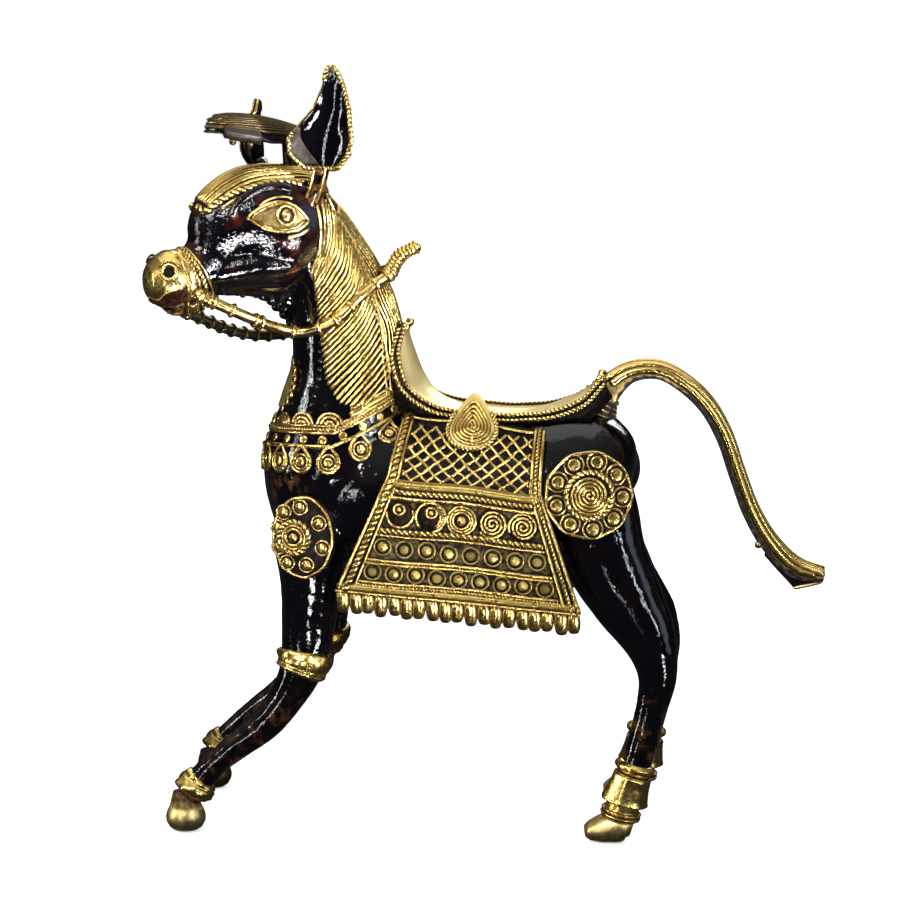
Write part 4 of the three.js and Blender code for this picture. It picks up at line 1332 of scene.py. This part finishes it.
def medallion(name, centre, way, radius, count, reach, coil, hoop, near, squash=1.0, spots=None, shift=0.0):
    centre, way = np.asarray(centre, float), unit(way)
    right, up = square_to(way)
    base = Wax()
    turned(base, centre, way, [(radius * 0.99, -3.4), (radius, -0.5), (radius * 0.93, 0.1),
                               (radius * 0.6, 0.75), (0.4, 1.3)],
           sides=48, crown=(0, 0.1, 0.12, 0.12, 0.12), squash=squash)
    base.cast(f"{name}_ground", DARK_BRASS)
    wax = Wax()

    def dome(aside, high):
        distance = min(math.hypot(aside / squash, high) / radius, 1)
        return centre + aside * right + high * up + way * (1.25 * (1 - distance ** 1.5) + 0.1)

    def spot(distance, turn):
        return dome(distance * math.sin(turn) * squash + shift, distance * math.cos(turn))

    if coil:
        turned(wax, spot(0, 0) - way * 0.3, way, [(coil, -0.5), (coil, 0.15), (coil * 0.4, 0.4)], sides=32,
               crown=(0, 0.3, 0.3))
        spiral(wax, spot(0, 0) + way * 0.1, way, coil - 0.2, coil / 1.06, 0.42)
    else:
        button(wax, spot(0, 0), way, 1.15, 2.1, width=0.42)
        ring(wax, spot(0, 0), way, 3.0, 0.36)
    ring(wax, spot(0, 0) - way * (1.15 - 1.25 * (1 - (hoop / radius) ** 1.5)), way, hoop, 0.82,
         twisted=True, squash=1.0 if spots else squash)
    if spots:
        places = [dome(*place) for place in spots]
    else:
        places = [spot(reach, 2 * math.pi * (k + 0.35) / count) for k in range(count)]
    for place in places:
        disc = radius * (0.118 if spots else 0.148)
        button(wax, place, way, disc, disc * 1.5 if near else 0, width=0.24, shine=0.85, height=0.6,
               moat=near)
    edge = whole_turn(120)
    wave = radius - 0.35 + (0.14 if near else 0.0) * np.cos(edge * count - 2 * math.pi * 0.35)
    path = centre + wave[:, None] * (np.sin(edge)[:, None] * right * squash
                                     + np.cos(edge)[:, None] * up) + way * 0.15
    thread(wax, path, way, 0.42, closed=True)
    wax.cast(f"{name}_threads", BRASS)


for hand, side in ((NEAR, "near"), (OFF, "far")):
    near = hand == NEAR
    medallion(f"hip_medallion_{side}", (34.6, 20.2 * hand, 90.6), (0.22, hand, 0.1), 11.2, 9, 8.6, 5.2, 5.85,
              near)
    medallion(f"shoulder_medallion_{side}", (-38.0, 20.4 * hand, 78.2), (-0.16, hand, 0.05), 10.6, 9, 8.2, 0,
              4.0 if near else 5.0, near, squash=0.76, spots=SHOULDER_SPOTS if near else None,
              shift=-2.1 if near else 0.0)

# %% [markdown]
# The saddle cloth hangs from the crest of the back. Its surface is a grid with u from front to
# rear and v from top to hem, which follows the flank above and falls straight below. All its
# ornament is drawn in u and v, so it stays between the borders as a real pattern does.

# %% Cloth
CLOTH_EDGES = [(0, -13.4, 108.4, 23, 105.4), (0.32, -16.2, 94.6, 22.6, 91), (1, -29.6, 65, 33, 60.2)]
BORDER = 0.075


def between_borders(k, count):
    """The middle of the k-th of count equal steps between the side borders."""
    return BORDER + (1 - 2 * BORDER) * (k + 0.5) / count


def flank(z):
    rise = np.clip((np.asarray(z, float) - 87.5) / 22.1, 0, 1)
    return 22.6 * np.sqrt(1 - rise ** 2)


def cloth(u, v, hand, proud=0.0):
    x_front, z_front, x_rear, z_rear = read(CLOTH_EDGES, v)
    z = z_front + (z_rear - z_front) * np.asarray(u, float)
    return np.stack(np.broadcast_arrays(x_front + (x_rear - x_front) * u, hand * (flank(z) + proud), z),
                    axis=-1)


def on_cloth(u, v, hand, proud=0.0):
    """Places on the cloth and the way out of it."""
    u, v = np.broadcast_arrays(np.asarray(u, float), np.asarray(v, float))
    here = cloth(u, v, hand)
    way = np.cross(cloth(u + 0.01, v, hand) - here, cloth(u, v + 0.01, hand) - here)
    way = unit(way * np.where(way[..., 1:2] * hand < 0, -1, 1))
    return here + way * proud, way


def cloth_ground(hand, name):
    wax = Wax()

    def place(a, b, depth):
        wave = 0.12 * np.sin(a * 19 + b * 7) * np.sin(b * 11)
        return cloth(a, b, hand, wave if depth else -2.2)

    slab(wax, place, 48, 60, crown=(0.5, 0.2))
    down = np.tile(np.linspace(0, 1, 61), 49)
    wax.crown = [np.concatenate((np.where(down < 0.36, 0.02, 0.31), np.full(wax.total - len(down), 0.2)))]
    wax.cast(name, DARK_BRASS)


cloth_ground(NEAR, "cloth_ground_near")
cloth_ground(OFF, "cloth_ground_far")

# %% [markdown]
# Borders first: wire, rope and wire down each side. Then the bands across. The lattice is two
# sets of slanting threads, cut off at the borders and round the teardrop.

# %% Borders, bands and lattice


def down_cloth(wax, u, hand, width, twisted=False):
    share = np.linspace(0.0, 1.0, 60)
    (rope if twisted else thread)(wax, *on_cloth(np.full(60, u), share, hand, 0.1), width)


def across_cloth(wax, v, hand, width, twisted=False, flat=1.0, sag=0.006, ends=(BORDER, 1 - BORDER)):
    share = np.linspace(*ends, 60)
    line = v + sag * np.sin(share * 9)
    if twisted:
        rope(wax, *on_cloth(share, line, hand, 0.1), width)
    else:
        thread(wax, *on_cloth(share, line, hand, 0.05), width, flat=flat, shine=0.85)


trim, strips = Wax(), Wax()
for u, width, twisted in ((0.010, 0.5, False), (0.040, 0.95, True), (0.072, 0.42, False),
                          (0.995, 0.55, False), (0.966, 0.62, True), (0.938, 0.5, False)):
    down_cloth(trim, u, NEAR, width, twisted)
across_cloth(strips, 0.350, NEAR, 1.45, flat=0.32, ends=(0.03, 0.99))
across_cloth(strips, 0.972, NEAR, 1.45, flat=0.34, ends=(0.0, 1.0), sag=0.002)
BETWEEN = (BORDER, 1 - BORDER)
for v, width, twisted, ends in ((0.330, 0.36, False, (0.05, 0.97)), (0.392, 0.78, True, BETWEEN),
                                (0.425, 0.55, False, (0.05, 0.97)), (0.618, 0.85, True, BETWEEN),
                                (0.648, 0.42, False, BETWEEN), (0.795, 0.45, False, BETWEEN),
                                (0.815, 0.40, False, BETWEEN), (0.925, 0.40, False, BETWEEN),
                                (0.945, 0.50, True, BETWEEN)):
    across_cloth(trim, v, NEAR, width, twisted, ends=ends)
across_cloth(trim, 0.998, NEAR, 0.5, ends=(0.0, 1.0), sag=0.002)
across_cloth(trim, 0.012, NEAR, 0.45, ends=(0.04, 0.96))


def lattice(wax, hand, angles, gap, round_drop):
    wide, high = 37.0, 16.5
    for angle in angles:
        step = np.array((math.cos(math.radians(angle)), math.sin(math.radians(angle))))
        beside = np.array((-step[1], step[0]))
        for k in range(-16, 17):
            run = np.linspace(-45, 45, 300)[:, None]
            p, q = (np.array((wide / 2, high / 2)) + beside * gap * (k + 0.5) + step * run
                    + beside * 0.12 * np.sin(run * 0.8 + k)).T
            inside = (p > 0.085 * wide) & (p < 0.925 * wide) & (q > 1.0) & (q < high - 0.1)
            inside &= (p - wide / 2) ** 2 + (q - 0.8) ** 2 > round_drop ** 2
            parts = np.split(np.arange(len(p)), np.flatnonzero(np.diff(inside.astype(int))) + 1)
            for part in parts:
                if inside[part[0]] and len(part) > 4:
                    thread(wax, *on_cloth(p[part] / wide, 0.02 + q[part] / high * 0.32, hand, 0.02), 0.38,
                           taper=0.8)


lattice(trim, NEAR, angles=(-46, 42), gap=2.55, round_drop=5.6)
trim.cast("cloth_trim_near", AGED_BRASS)
strips.cast("cloth_strips_near", OLIVE_BRASS)

# %% [markdown]
# Three rows of discs fill the bands. Of the five large ones two are open, like a C, one is a set
# of rings and two are coils. The small ones are buttons in a hoop.

# %% Rows of discs
discs = Wax()
for k in range(5):
    u = between_borders(k, 5)
    place, way = on_cloth(u, 0.522, NEAR, 0.1)
    right, up = square_to(way)
    if k < 3:
        turned(discs, place, way, [(3.6, -0.3), (3.6, 0.16), (0.5, 0.2)], sides=24, crown=(0, 0, 0))
    if k < 2:
        for radius, width in (((3.75, 0.40), (3.1, 0.26), (2.5, 0.26)) if k else ((3.4, 0.42),)):
            open_from, open_to = ((-1.2, 1.1) if radius < 3.7 else (-1.5, 3.9)) if k else (-3.4, 0.35)
            swing = np.linspace(open_from, open_to, 50)[:, None]
            path = place + radius * (right * np.cos(swing) + up * np.sin(swing))
            thread(discs, path, way, width)
        inner = place + (right * 0.2 + up * 1.2 if k else -right * 0.2 + up * 1.2)
        ring(discs, inner, way, 1.35, 0.36)
        turned(discs, inner, way, [(0.7, -0.2), (0.6, 0.6), (0.2, 0.8)], sides=12, crown=(0, 1, 1))
    elif k == 2:
        for radius in (3.6, 2.85, 2.15):
            ring(discs, place, way, radius, 0.32)
        turned(discs, place, way, [(1.2, -0.2), (1.15, 0.6), (0.4, 0.9)], sides=14, crown=(0, 1, 1))
    else:
        turned(discs, place, way, [(3.9, -0.3), (3.9, 0.1), (0.5, 0.14)], sides=24, crown=(0, 0, 0))
        spiral(discs, place, way, 3.7, 3.7 / 1.06, 0.38, hand=-1 if k == 3 else 1)
dull_discs = Wax()
for v, count in ((0.72, 8), (0.868, 9)):
    for k in range(count):
        u = between_borders(k, count)
        place, way = on_cloth(u, v + 0.004 * math.sin(k * 2.4), NEAR, 0.05)
        button(dull_discs, place, way, 1.35, 2.12, width=0.30, height=0.42 + 0.1 * math.sin(k * 1.7),
               shine=0.62 + 0.25 * math.sin(k * 2.3 + v * 20), moat=True)
discs.cast("cloth_discs_near", AGED_BRASS)
dull_discs.cast("cloth_rows_near", OLIVE_BRASS)

# %% [markdown]
# The fringe is a row of long pellets under the hem. Each leans and swells a little differently,
# from sines of its number, so every run of the lesson gives the same fringe.

# %% Fringe
fringe = Wax()
for k in range(19):
    place, way = on_cloth((k + 0.5) / 19, 0.985, NEAR, -0.7)
    lean = 0.05 * math.sin(k * 1.9)
    long = 3.2 + 0.18 * math.sin(k * 2.7)
    down = unit(np.array((lean, 0.05, -1)))
    wide = 1.80 + 0.08 * math.sin(k * 3.1)
    ball(fringe, place + down * long, (np.array((wide, 0, 0)), np.array((0, 1.35, 0)), down * long), rows=11,
         sides=16, full=0.45)
    thread(fringe, [place - down * 1.2 + np.array((wide, 0, 0)) * 0.8,
                    place + down * 0.5 + np.array((wide, 0, 0)) * 0.95],
           way, 0.4)
fringe.cast("fringe_near", BRASS)

# %% [markdown]
# The far side of the cloth isn't in the picture. It gets the same borders, a coarser lattice, one
# row of coils and a shorter fringe: the same hand, with less work, as founders often do.

# %% Far side of the cloth
far = Wax()
for u, width, twisted in ((0.012, 0.55, False), (0.045, 0.9, True), (0.985, 0.6, False), (0.955, 0.9, True)):
    down_cloth(far, u, OFF, width, twisted)
for v, width, twisted in ((0.352, 0.9, False), (0.392, 0.8, True), (0.648, 0.8, True), (0.945, 0.55, True)):
    across_cloth(far, v, OFF, width, twisted)
across_cloth(far, 0.978, OFF, 1.2, flat=0.55, ends=(0.0, 1.0), sag=0.002)
lattice(far, OFF, angles=(-42, 42), gap=4.2, round_drop=3.0)
for k in range(5):
    place, way = on_cloth(between_borders(k, 5), 0.522, OFF, 0.1)
    spiral(far, place, way, 3.6, 3.6 / 1.1, 0.52)
for k in range(7):
    place, way = on_cloth(between_borders(k, 7), 0.80, OFF, 0.05)
    button(far, place, way, 1.5, 2.3, width=0.48)
for k in range(15):
    place, way = on_cloth((k + 0.5) / 15, 1.0, OFF, -0.9)
    ball(far, place + np.array((0, 0, -2.4)),
         (np.array((1.65, 0, 0)), np.array((0, 1.4, 0)), np.array((0, 0, -2.9))))
far.cast("cloth_trim_far", BRASS)

# %% [markdown]
# The seat is a thick strip that dips along the back, climbs the neck and runs out over the dock.
# It is rubbed bright, with a braid along each rim and a knot at each corner.

# %% Seat
SEAT = [(-13.4, 130.2, 4.6, 1.2), (-11.8, 124.6, 8, 4.2), (-9.4, 118, 9, 4.6), (-5.6, 112.6, 9, 2.6),
        (-0.4, 109.6, 8.6, 1), (7.6, 108.2, 8.2, 0.2), (16, 108, 8, 0.2), (23.6, 110.2, 7.8, 1.6),
        (30.4, 113.4, 7.2, 2.2), (36.6, 117.4, 4, 0.8)]
seat_line = smooth_path([(x, 0, z) for x, z, _, _ in SEAT], 12)
seat_size = smooth_path([(half, sag, 0) for _, _, half, sag in SEAT], 12)
seat_up = np.cross(unit(np.gradient(seat_line, axis=0)), (0, 1, 0))


def seat(a, side, proud=0.0):
    """A place on the seat: along it from 0 to 1, and across from -1 to 1."""
    a, side = np.broadcast_arrays(np.asarray(a, float), np.asarray(side, float))
    at = a * (len(seat_line) - 1)
    line, up, size = (between_rows(part, at) for part in (seat_line, seat_up, seat_size))
    return (line + up * (proud - size[..., 1] * side ** 2)[..., None]
            + np.stack((0 * side, side * size[..., 0], 0 * side), axis=-1)), unit(up)


saddle = Wax()


def seat_place(a, b, depth):
    side = (b - 0.5) * 2
    hollow = 0.25 * np.sin(a * 23) * np.sin(b * 9) if depth else 0
    rim_lift = 0.7 * np.clip((np.abs(side) - 0.8) / 0.2, 0, 1) if depth else -4.6
    return seat(a, side, hollow * 0.4 + rim_lift)[0]


slab(saddle, seat_place, 90, 24, crown=(1.0, -2.0))
saddle.cast("saddle_seat", SEAT_BRASS)
braid = Wax()
along = np.linspace(0.0, 1.0, 110)
for side in (-1, 1):
    for out, proud, width in ((1.0, 0.5, 0.70), (1.04, -0.7, 0.66)):
        path, ways = seat(along, side * out, proud)
        lean = np.array((0, side * (0.35 if proud > 0 else 1.2), 0))
        rope(braid, path, unit(ways + lean), width, pitch=2.3)
for a in (0.0, 1.0):
    side = np.linspace(-1, 1, 24)
    path, ways = seat(np.full(24, a), side, 0.5)
    rope(braid, path, ways, 0.7)
    for hand in (-1, 1):
        ball(braid, seat(np.array([a]), np.array([hand * 0.95]), 1.1)[0][0], np.eye(3) * 1.15)
braid.cast("saddle_braid", BRASS)

# %% [markdown]
# Over the cloth's top edge lies a teardrop with its point up. It is a flat plate, a coil squeezed
# to the same outline, and a rope round the lower half.

# %% Teardrop on the saddle
drop = Wax()
drop_middle, drop_way = on_cloth(0.5, 0.03, NEAR, 0.9)
drop_way = unit(drop_way + np.array((0, -0.25, -0.1)))
drop_right, drop_up = square_to(drop_way)


def teardrop(turn, radius):
    """A place on a teardrop; turn 0 is its foot."""
    share = (1 - np.cos(turn)) / 2
    return (drop_middle + (radius * np.sin(turn) * (1 - 0.45 * share ** 2))[:, None] * drop_right
            + (radius * (-np.cos(turn) + 0.42 * share ** 5))[:, None] * drop_up)


turn = whole_turn(56)
plate = np.stack([teardrop(turn, radius) + drop_way * height for radius, height in
                  ((6.9, -2.6), (6.95, 0.2), (6.7, 0.55), (5.4, 0.35), (3.0, 0.2), (0.6, 0.2))])
tube(drop, plate[::-1], np.repeat(np.array((1, 1, 1, 1, 0.7, 0))[:, None], 56, axis=1))
drop.cast("teardrop_plate", PALE_BRASS)
coil = Wax()
share = np.linspace(0, 1, 260)
thread(coil, teardrop(share * 2 * math.pi * 5.2, 0.7 + 4.9 * share) + drop_way * 0.3,
       drop_way, 0.42, step=0.45)
low = np.linspace(-2.1, 2.1, 60)
rope(coil, teardrop(low, 6.9) + drop_way * 0.2, drop_way, 0.62)
coil.cast("teardrop_coil", BRASS)

# %% [markdown]
# The tail is a strap with threads combed along its top and a ridge on the near edge. It leaves
# the dock, arches over and ends in a flare.

# %% Tail
TAIL = [(33, 2, 106, 7, 7), (36.8, 2, 112.2, 4, 5), (43.4, 2.5, 118, 2.5, 3.6), (50.6, 3, 118.8, 2.1, 3.5),
        (57.2, 3.5, 115.4, 2.1, 3.5), (63.2, 4, 109.6, 2.1, 3.5), (67.6, 4, 102, 2.1, 3.4),
        (71, 4, 92.4, 2.1, 3.3), (74.9, 4, 82.2, 2.2, 3.2), (80, 4, 73.8, 2.3, 3.4), (86.6, 4, 67.6, 2.2, 4),
        (94, 4, 65.8, 1, 4.4)]
tail_rings, tail_path, tail_across, tail_up = loft(TAIL, sides=32, per_span=10)
tail = Wax()
away = tail_rings - tail_path[:, None]
sideways = np.sum(away * tail_across[:, None], axis=2, keepdims=True)
upright = np.sum(away * tail_up[:, None], axis=2, keepdims=True)
reach = np.maximum(np.abs(sideways / sideways.max(axis=1, keepdims=True)),
                   np.abs(upright / upright.max(axis=1, keepdims=True)))
square = away * (1 / np.maximum(reach, 0.75)) ** 0.8 * 0.98
points, faces = closed_skin((tail_path[:, None] + square)[:, ::-1])
# The crown value is low on the strap's underside and near the dock, along a ragged line, so there the strap
# is coloured dark grey.
under = (upright / upright.max(axis=1, keepdims=True))[:, ::-1, 0]
under[:11] -= 0.5
run_of = np.arange(len(under))[:, None]
ragged = 0.07 * np.sin(run_of * 1.7) + 0.12 * np.sin(run_of * 0.21)
dark_from = np.interp(run_of, (0, 12, 30, 60, 95, 110), (0.3, 0.75, 0.65, 0.30, 0.42, 0.3))
tail.add(points, faces, np.concatenate((np.clip((under + dark_from + ragged) / 0.5, 0, 1).ravel(),
                                        (0.3, 0.6))))
tail.cast("tail_strap", TAIL_BRASS)
hair = Wax()
tail_half = sideways.max(axis=1)[:, 0]
tail_top = upright.max(axis=1)[:, 0]
for offset, width in ((-0.95, 0.72), (-0.62, 0.36), (-0.1, 0.22), (0.45, 0.22), (0.95, 0.6)):
    rows = slice(12, len(tail_path))
    path = (tail_path + tail_across * (offset * tail_half)[:, None]
            + tail_up * (tail_top * (0.95 if abs(offset) < 0.9 else 0.75))[:, None])[rows]
    thread(hair, path, tail_up[rows] + tail_across[rows] * offset * 0.6, width, taper=0.4)
for k in range(5):
    ring_at = 3 + k * 2
    wrap = tail_rings[ring_at, ::-1] + (tail_rings[ring_at] - tail_path[ring_at])[::-1] * 0.06
    thread(hair, wrap, unit(wrap - tail_path[ring_at]), 0.42, closed=True, shine=0.45)
ridge = (tail_path - tail_across * (0.92 * tail_half)[:, None] + tail_up * (0.22 * tail_top)[:, None])[14:-3]
thread(hair, ridge, -tail_across[14:-3] + tail_up[14:-3] * 0.3, 1.2, sides=12, lift=0.1, taper=0.5)
knob = int(np.argmin(np.abs(tail_path[:, 2] - 75)))
ball(hair, tail_path[knob] - tail_up[knob] * 2.2 + tail_across[knob] * -2.4, np.eye(3) * 1.0)
hair.cast("tail_threads", BRASS)

SKIRT = [(78.6, 71.6, 71.2), (82, 69.4, 67.4), (86.2, 66.6, 62.9), (90, 65.8, 63.8), (93.6, 65.2, 64.8)]
skirt = Wax()


def skirt_place(a, b, depth):
    x, high, low = (np.interp(a, np.linspace(0, 1, 5), column) for column in np.array(SKIRT).T)
    return np.stack((x, 0 * x + (1.6 if depth else 3.4), high + (low - high) * b), axis=-1)


slab(skirt, skirt_place, 24, 6, crown=(0.2, 0.1))
# The flare under the strap's end is coloured near black.
skirt.cast("tail_flare", SMOKED_AND_SHADED_BRASS)
lip = Wax()
thread(lip, [(x, 1.7, low) for x, _, low in SKIRT[2:]], (0, -1, -0.4), 0.5)
lip.cast("tail_lip", PALE_BRASS)

# %% [markdown]
# Cast bands circle the legs. Each is a slice of the leg's own loft, swollen by a profile, so it
# fits the leg at any angle. The hooves are a pear in front and a small boot behind. On the far
# foreleg, behind the near one, the bands are dull olive and the hoof is dark, as painted shade.

# %% Bands and hooves


def band(wax, leg, start, end, profile, sides=40, faceted=0, hammered=0.0):
    """A band between two stations of a leg; profile gives how far it stands out along it."""
    fine = 40
    count = len(leg) - 1
    rings, path = loft(leg, sides=sides, per_span=fine)[:2]
    rows = slice(int(start * fine), min(int(end * fine) + 1, count * fine))
    rings, path = rings[rows], path[rows]
    out = rings - path[:, None]
    size = np.linalg.norm(out, axis=2, keepdims=True)
    swell = np.interp(np.linspace(0, 1, len(path)), *np.array(profile).T)[:, None, None]
    turn = whole_turn(sides)
    cut = 1 - 0.06 * np.abs(np.sin(turn * faceted / 2))[None, :, None] if faceted else 1.0
    dents = hammered * np.sin(turn * 5 + np.arange(len(path))[:, None] * 0.23) * np.sin(turn * 3 + 1)
    wax.add(*closed_skin((path[:, None] + out / size * (size + swell + dents[..., None]) * cut)[:, ::-1]))


bands, shaded_bands = Wax(), Wax()
for hand in (NEAR, OFF):
    leg = LEGS["fore", hand]
    # Painted shade: the far foreleg, behind the near one, gets dull olive bands.
    fore = bands if hand == NEAR else shaded_bands
    band(fore, leg, 3.66, 4.34, [(0, 0.2), (0.1, 0.85), (0.35, 1.2), (0.62, 1.05), (0.70, 0.75), (0.76, 1.1),
                                  (0.82, 0.7), (0.9, 1.05), (0.96, 0.7), (1, 0.2)], hammered=0.3)
    band(fore, leg, 8.80, 9.66, [(0, 0.2), (0.08, 0.8), (0.16, 1.0), (0.22, 0.8), (0.34, 1.5), (0.55, 2.0),
                                 (0.75, 2.0), (0.9, 1.5), (1, 0.4)], hammered=0.35, faceted=9)
    hind = LEGS["hind", hand]
    band(bands, hind, 7.9, 8.24, [(0, 0.2), (0.3, 1.4), (0.6, 1.5), (1, 0.3)])
    band(bands, hind, 8.26, 9.24, [(0, 0.5), (0.08, 1.3), (0.3, 1.5), (0.7, 2.2), (0.9, 2.7), (0.97, 2.5),
                                   (1, 0.8)],
         sides=42, faceted=7)
    band(bands, hind, 9.2, 9.98, [(0, 0.5), (0.3, 0.7), (0.42, 0.8), (0.5, 1.7), (0.64, 1.6), (0.68, 0.9),
                                  (0.76, 1.8), (0.92, 1.6), (1, 0.6)])
bands.cast("leg_bands", POLISHED_BRASS)
shaded_bands.cast("leg_bands_off_shaded", OLIVE_BRASS)
hooves, shaded_hoof = Wax(), Wax()
for hand in (NEAR, OFF):
    turned(hooves if hand == NEAR else shaded_hoof, (-69.5, 19.6 * hand, 0), (0, 0, 1),
           [(0.4, 0.0), (3.3, 0.02), (4.3, 0.7), (5.1, 2.2), (5.2, 3.6), (4.8, 5.0), (4.1, 6.4), (3.7, 8.2),
            (3.3, 9.9), (0.4, 10.4)],
           sides=36, crown=(0.9, 0.9, 0.9, 0.85, 0.8, 0.6, 0.3, 0.25, 0.2, 0.2))
    toe_out = OFF_HIND_SHIFT[0][1] if hand == OFF else 0
    boot = [(46.3, 3.5, 2.2, 2.8), (45.0, 3.9, 3.5, 4.1), (42.4, 3.9, 4.3, 4.7), (38.4, 3.1, 3.6, 4.5),
            (35.4, 2.5, 2.5, 3.5), (34.2, 2.3, 1.6, 2.0)]
    shoe = loft([(x + toe_out, 18.6 * hand, *rest) for x, *rest in boot], sides=36, per_span=8)[0]
    shoe[..., 2] = np.maximum(shoe[..., 2], 0.0)
    hooves.add(*closed_skin(shoe[:, ::-1]))
hooves.cast("hooves", PALE_BRASS)
shaded_hoof.cast("hoof_off_shaded", DARK_BRASS)

# %% [markdown]
# The last step counts the triangles in all the pieces and in the largest one.

# %% Finish
print("triangles in all:", sum(count_of.values()), "largest piece:", max(count_of.values()))
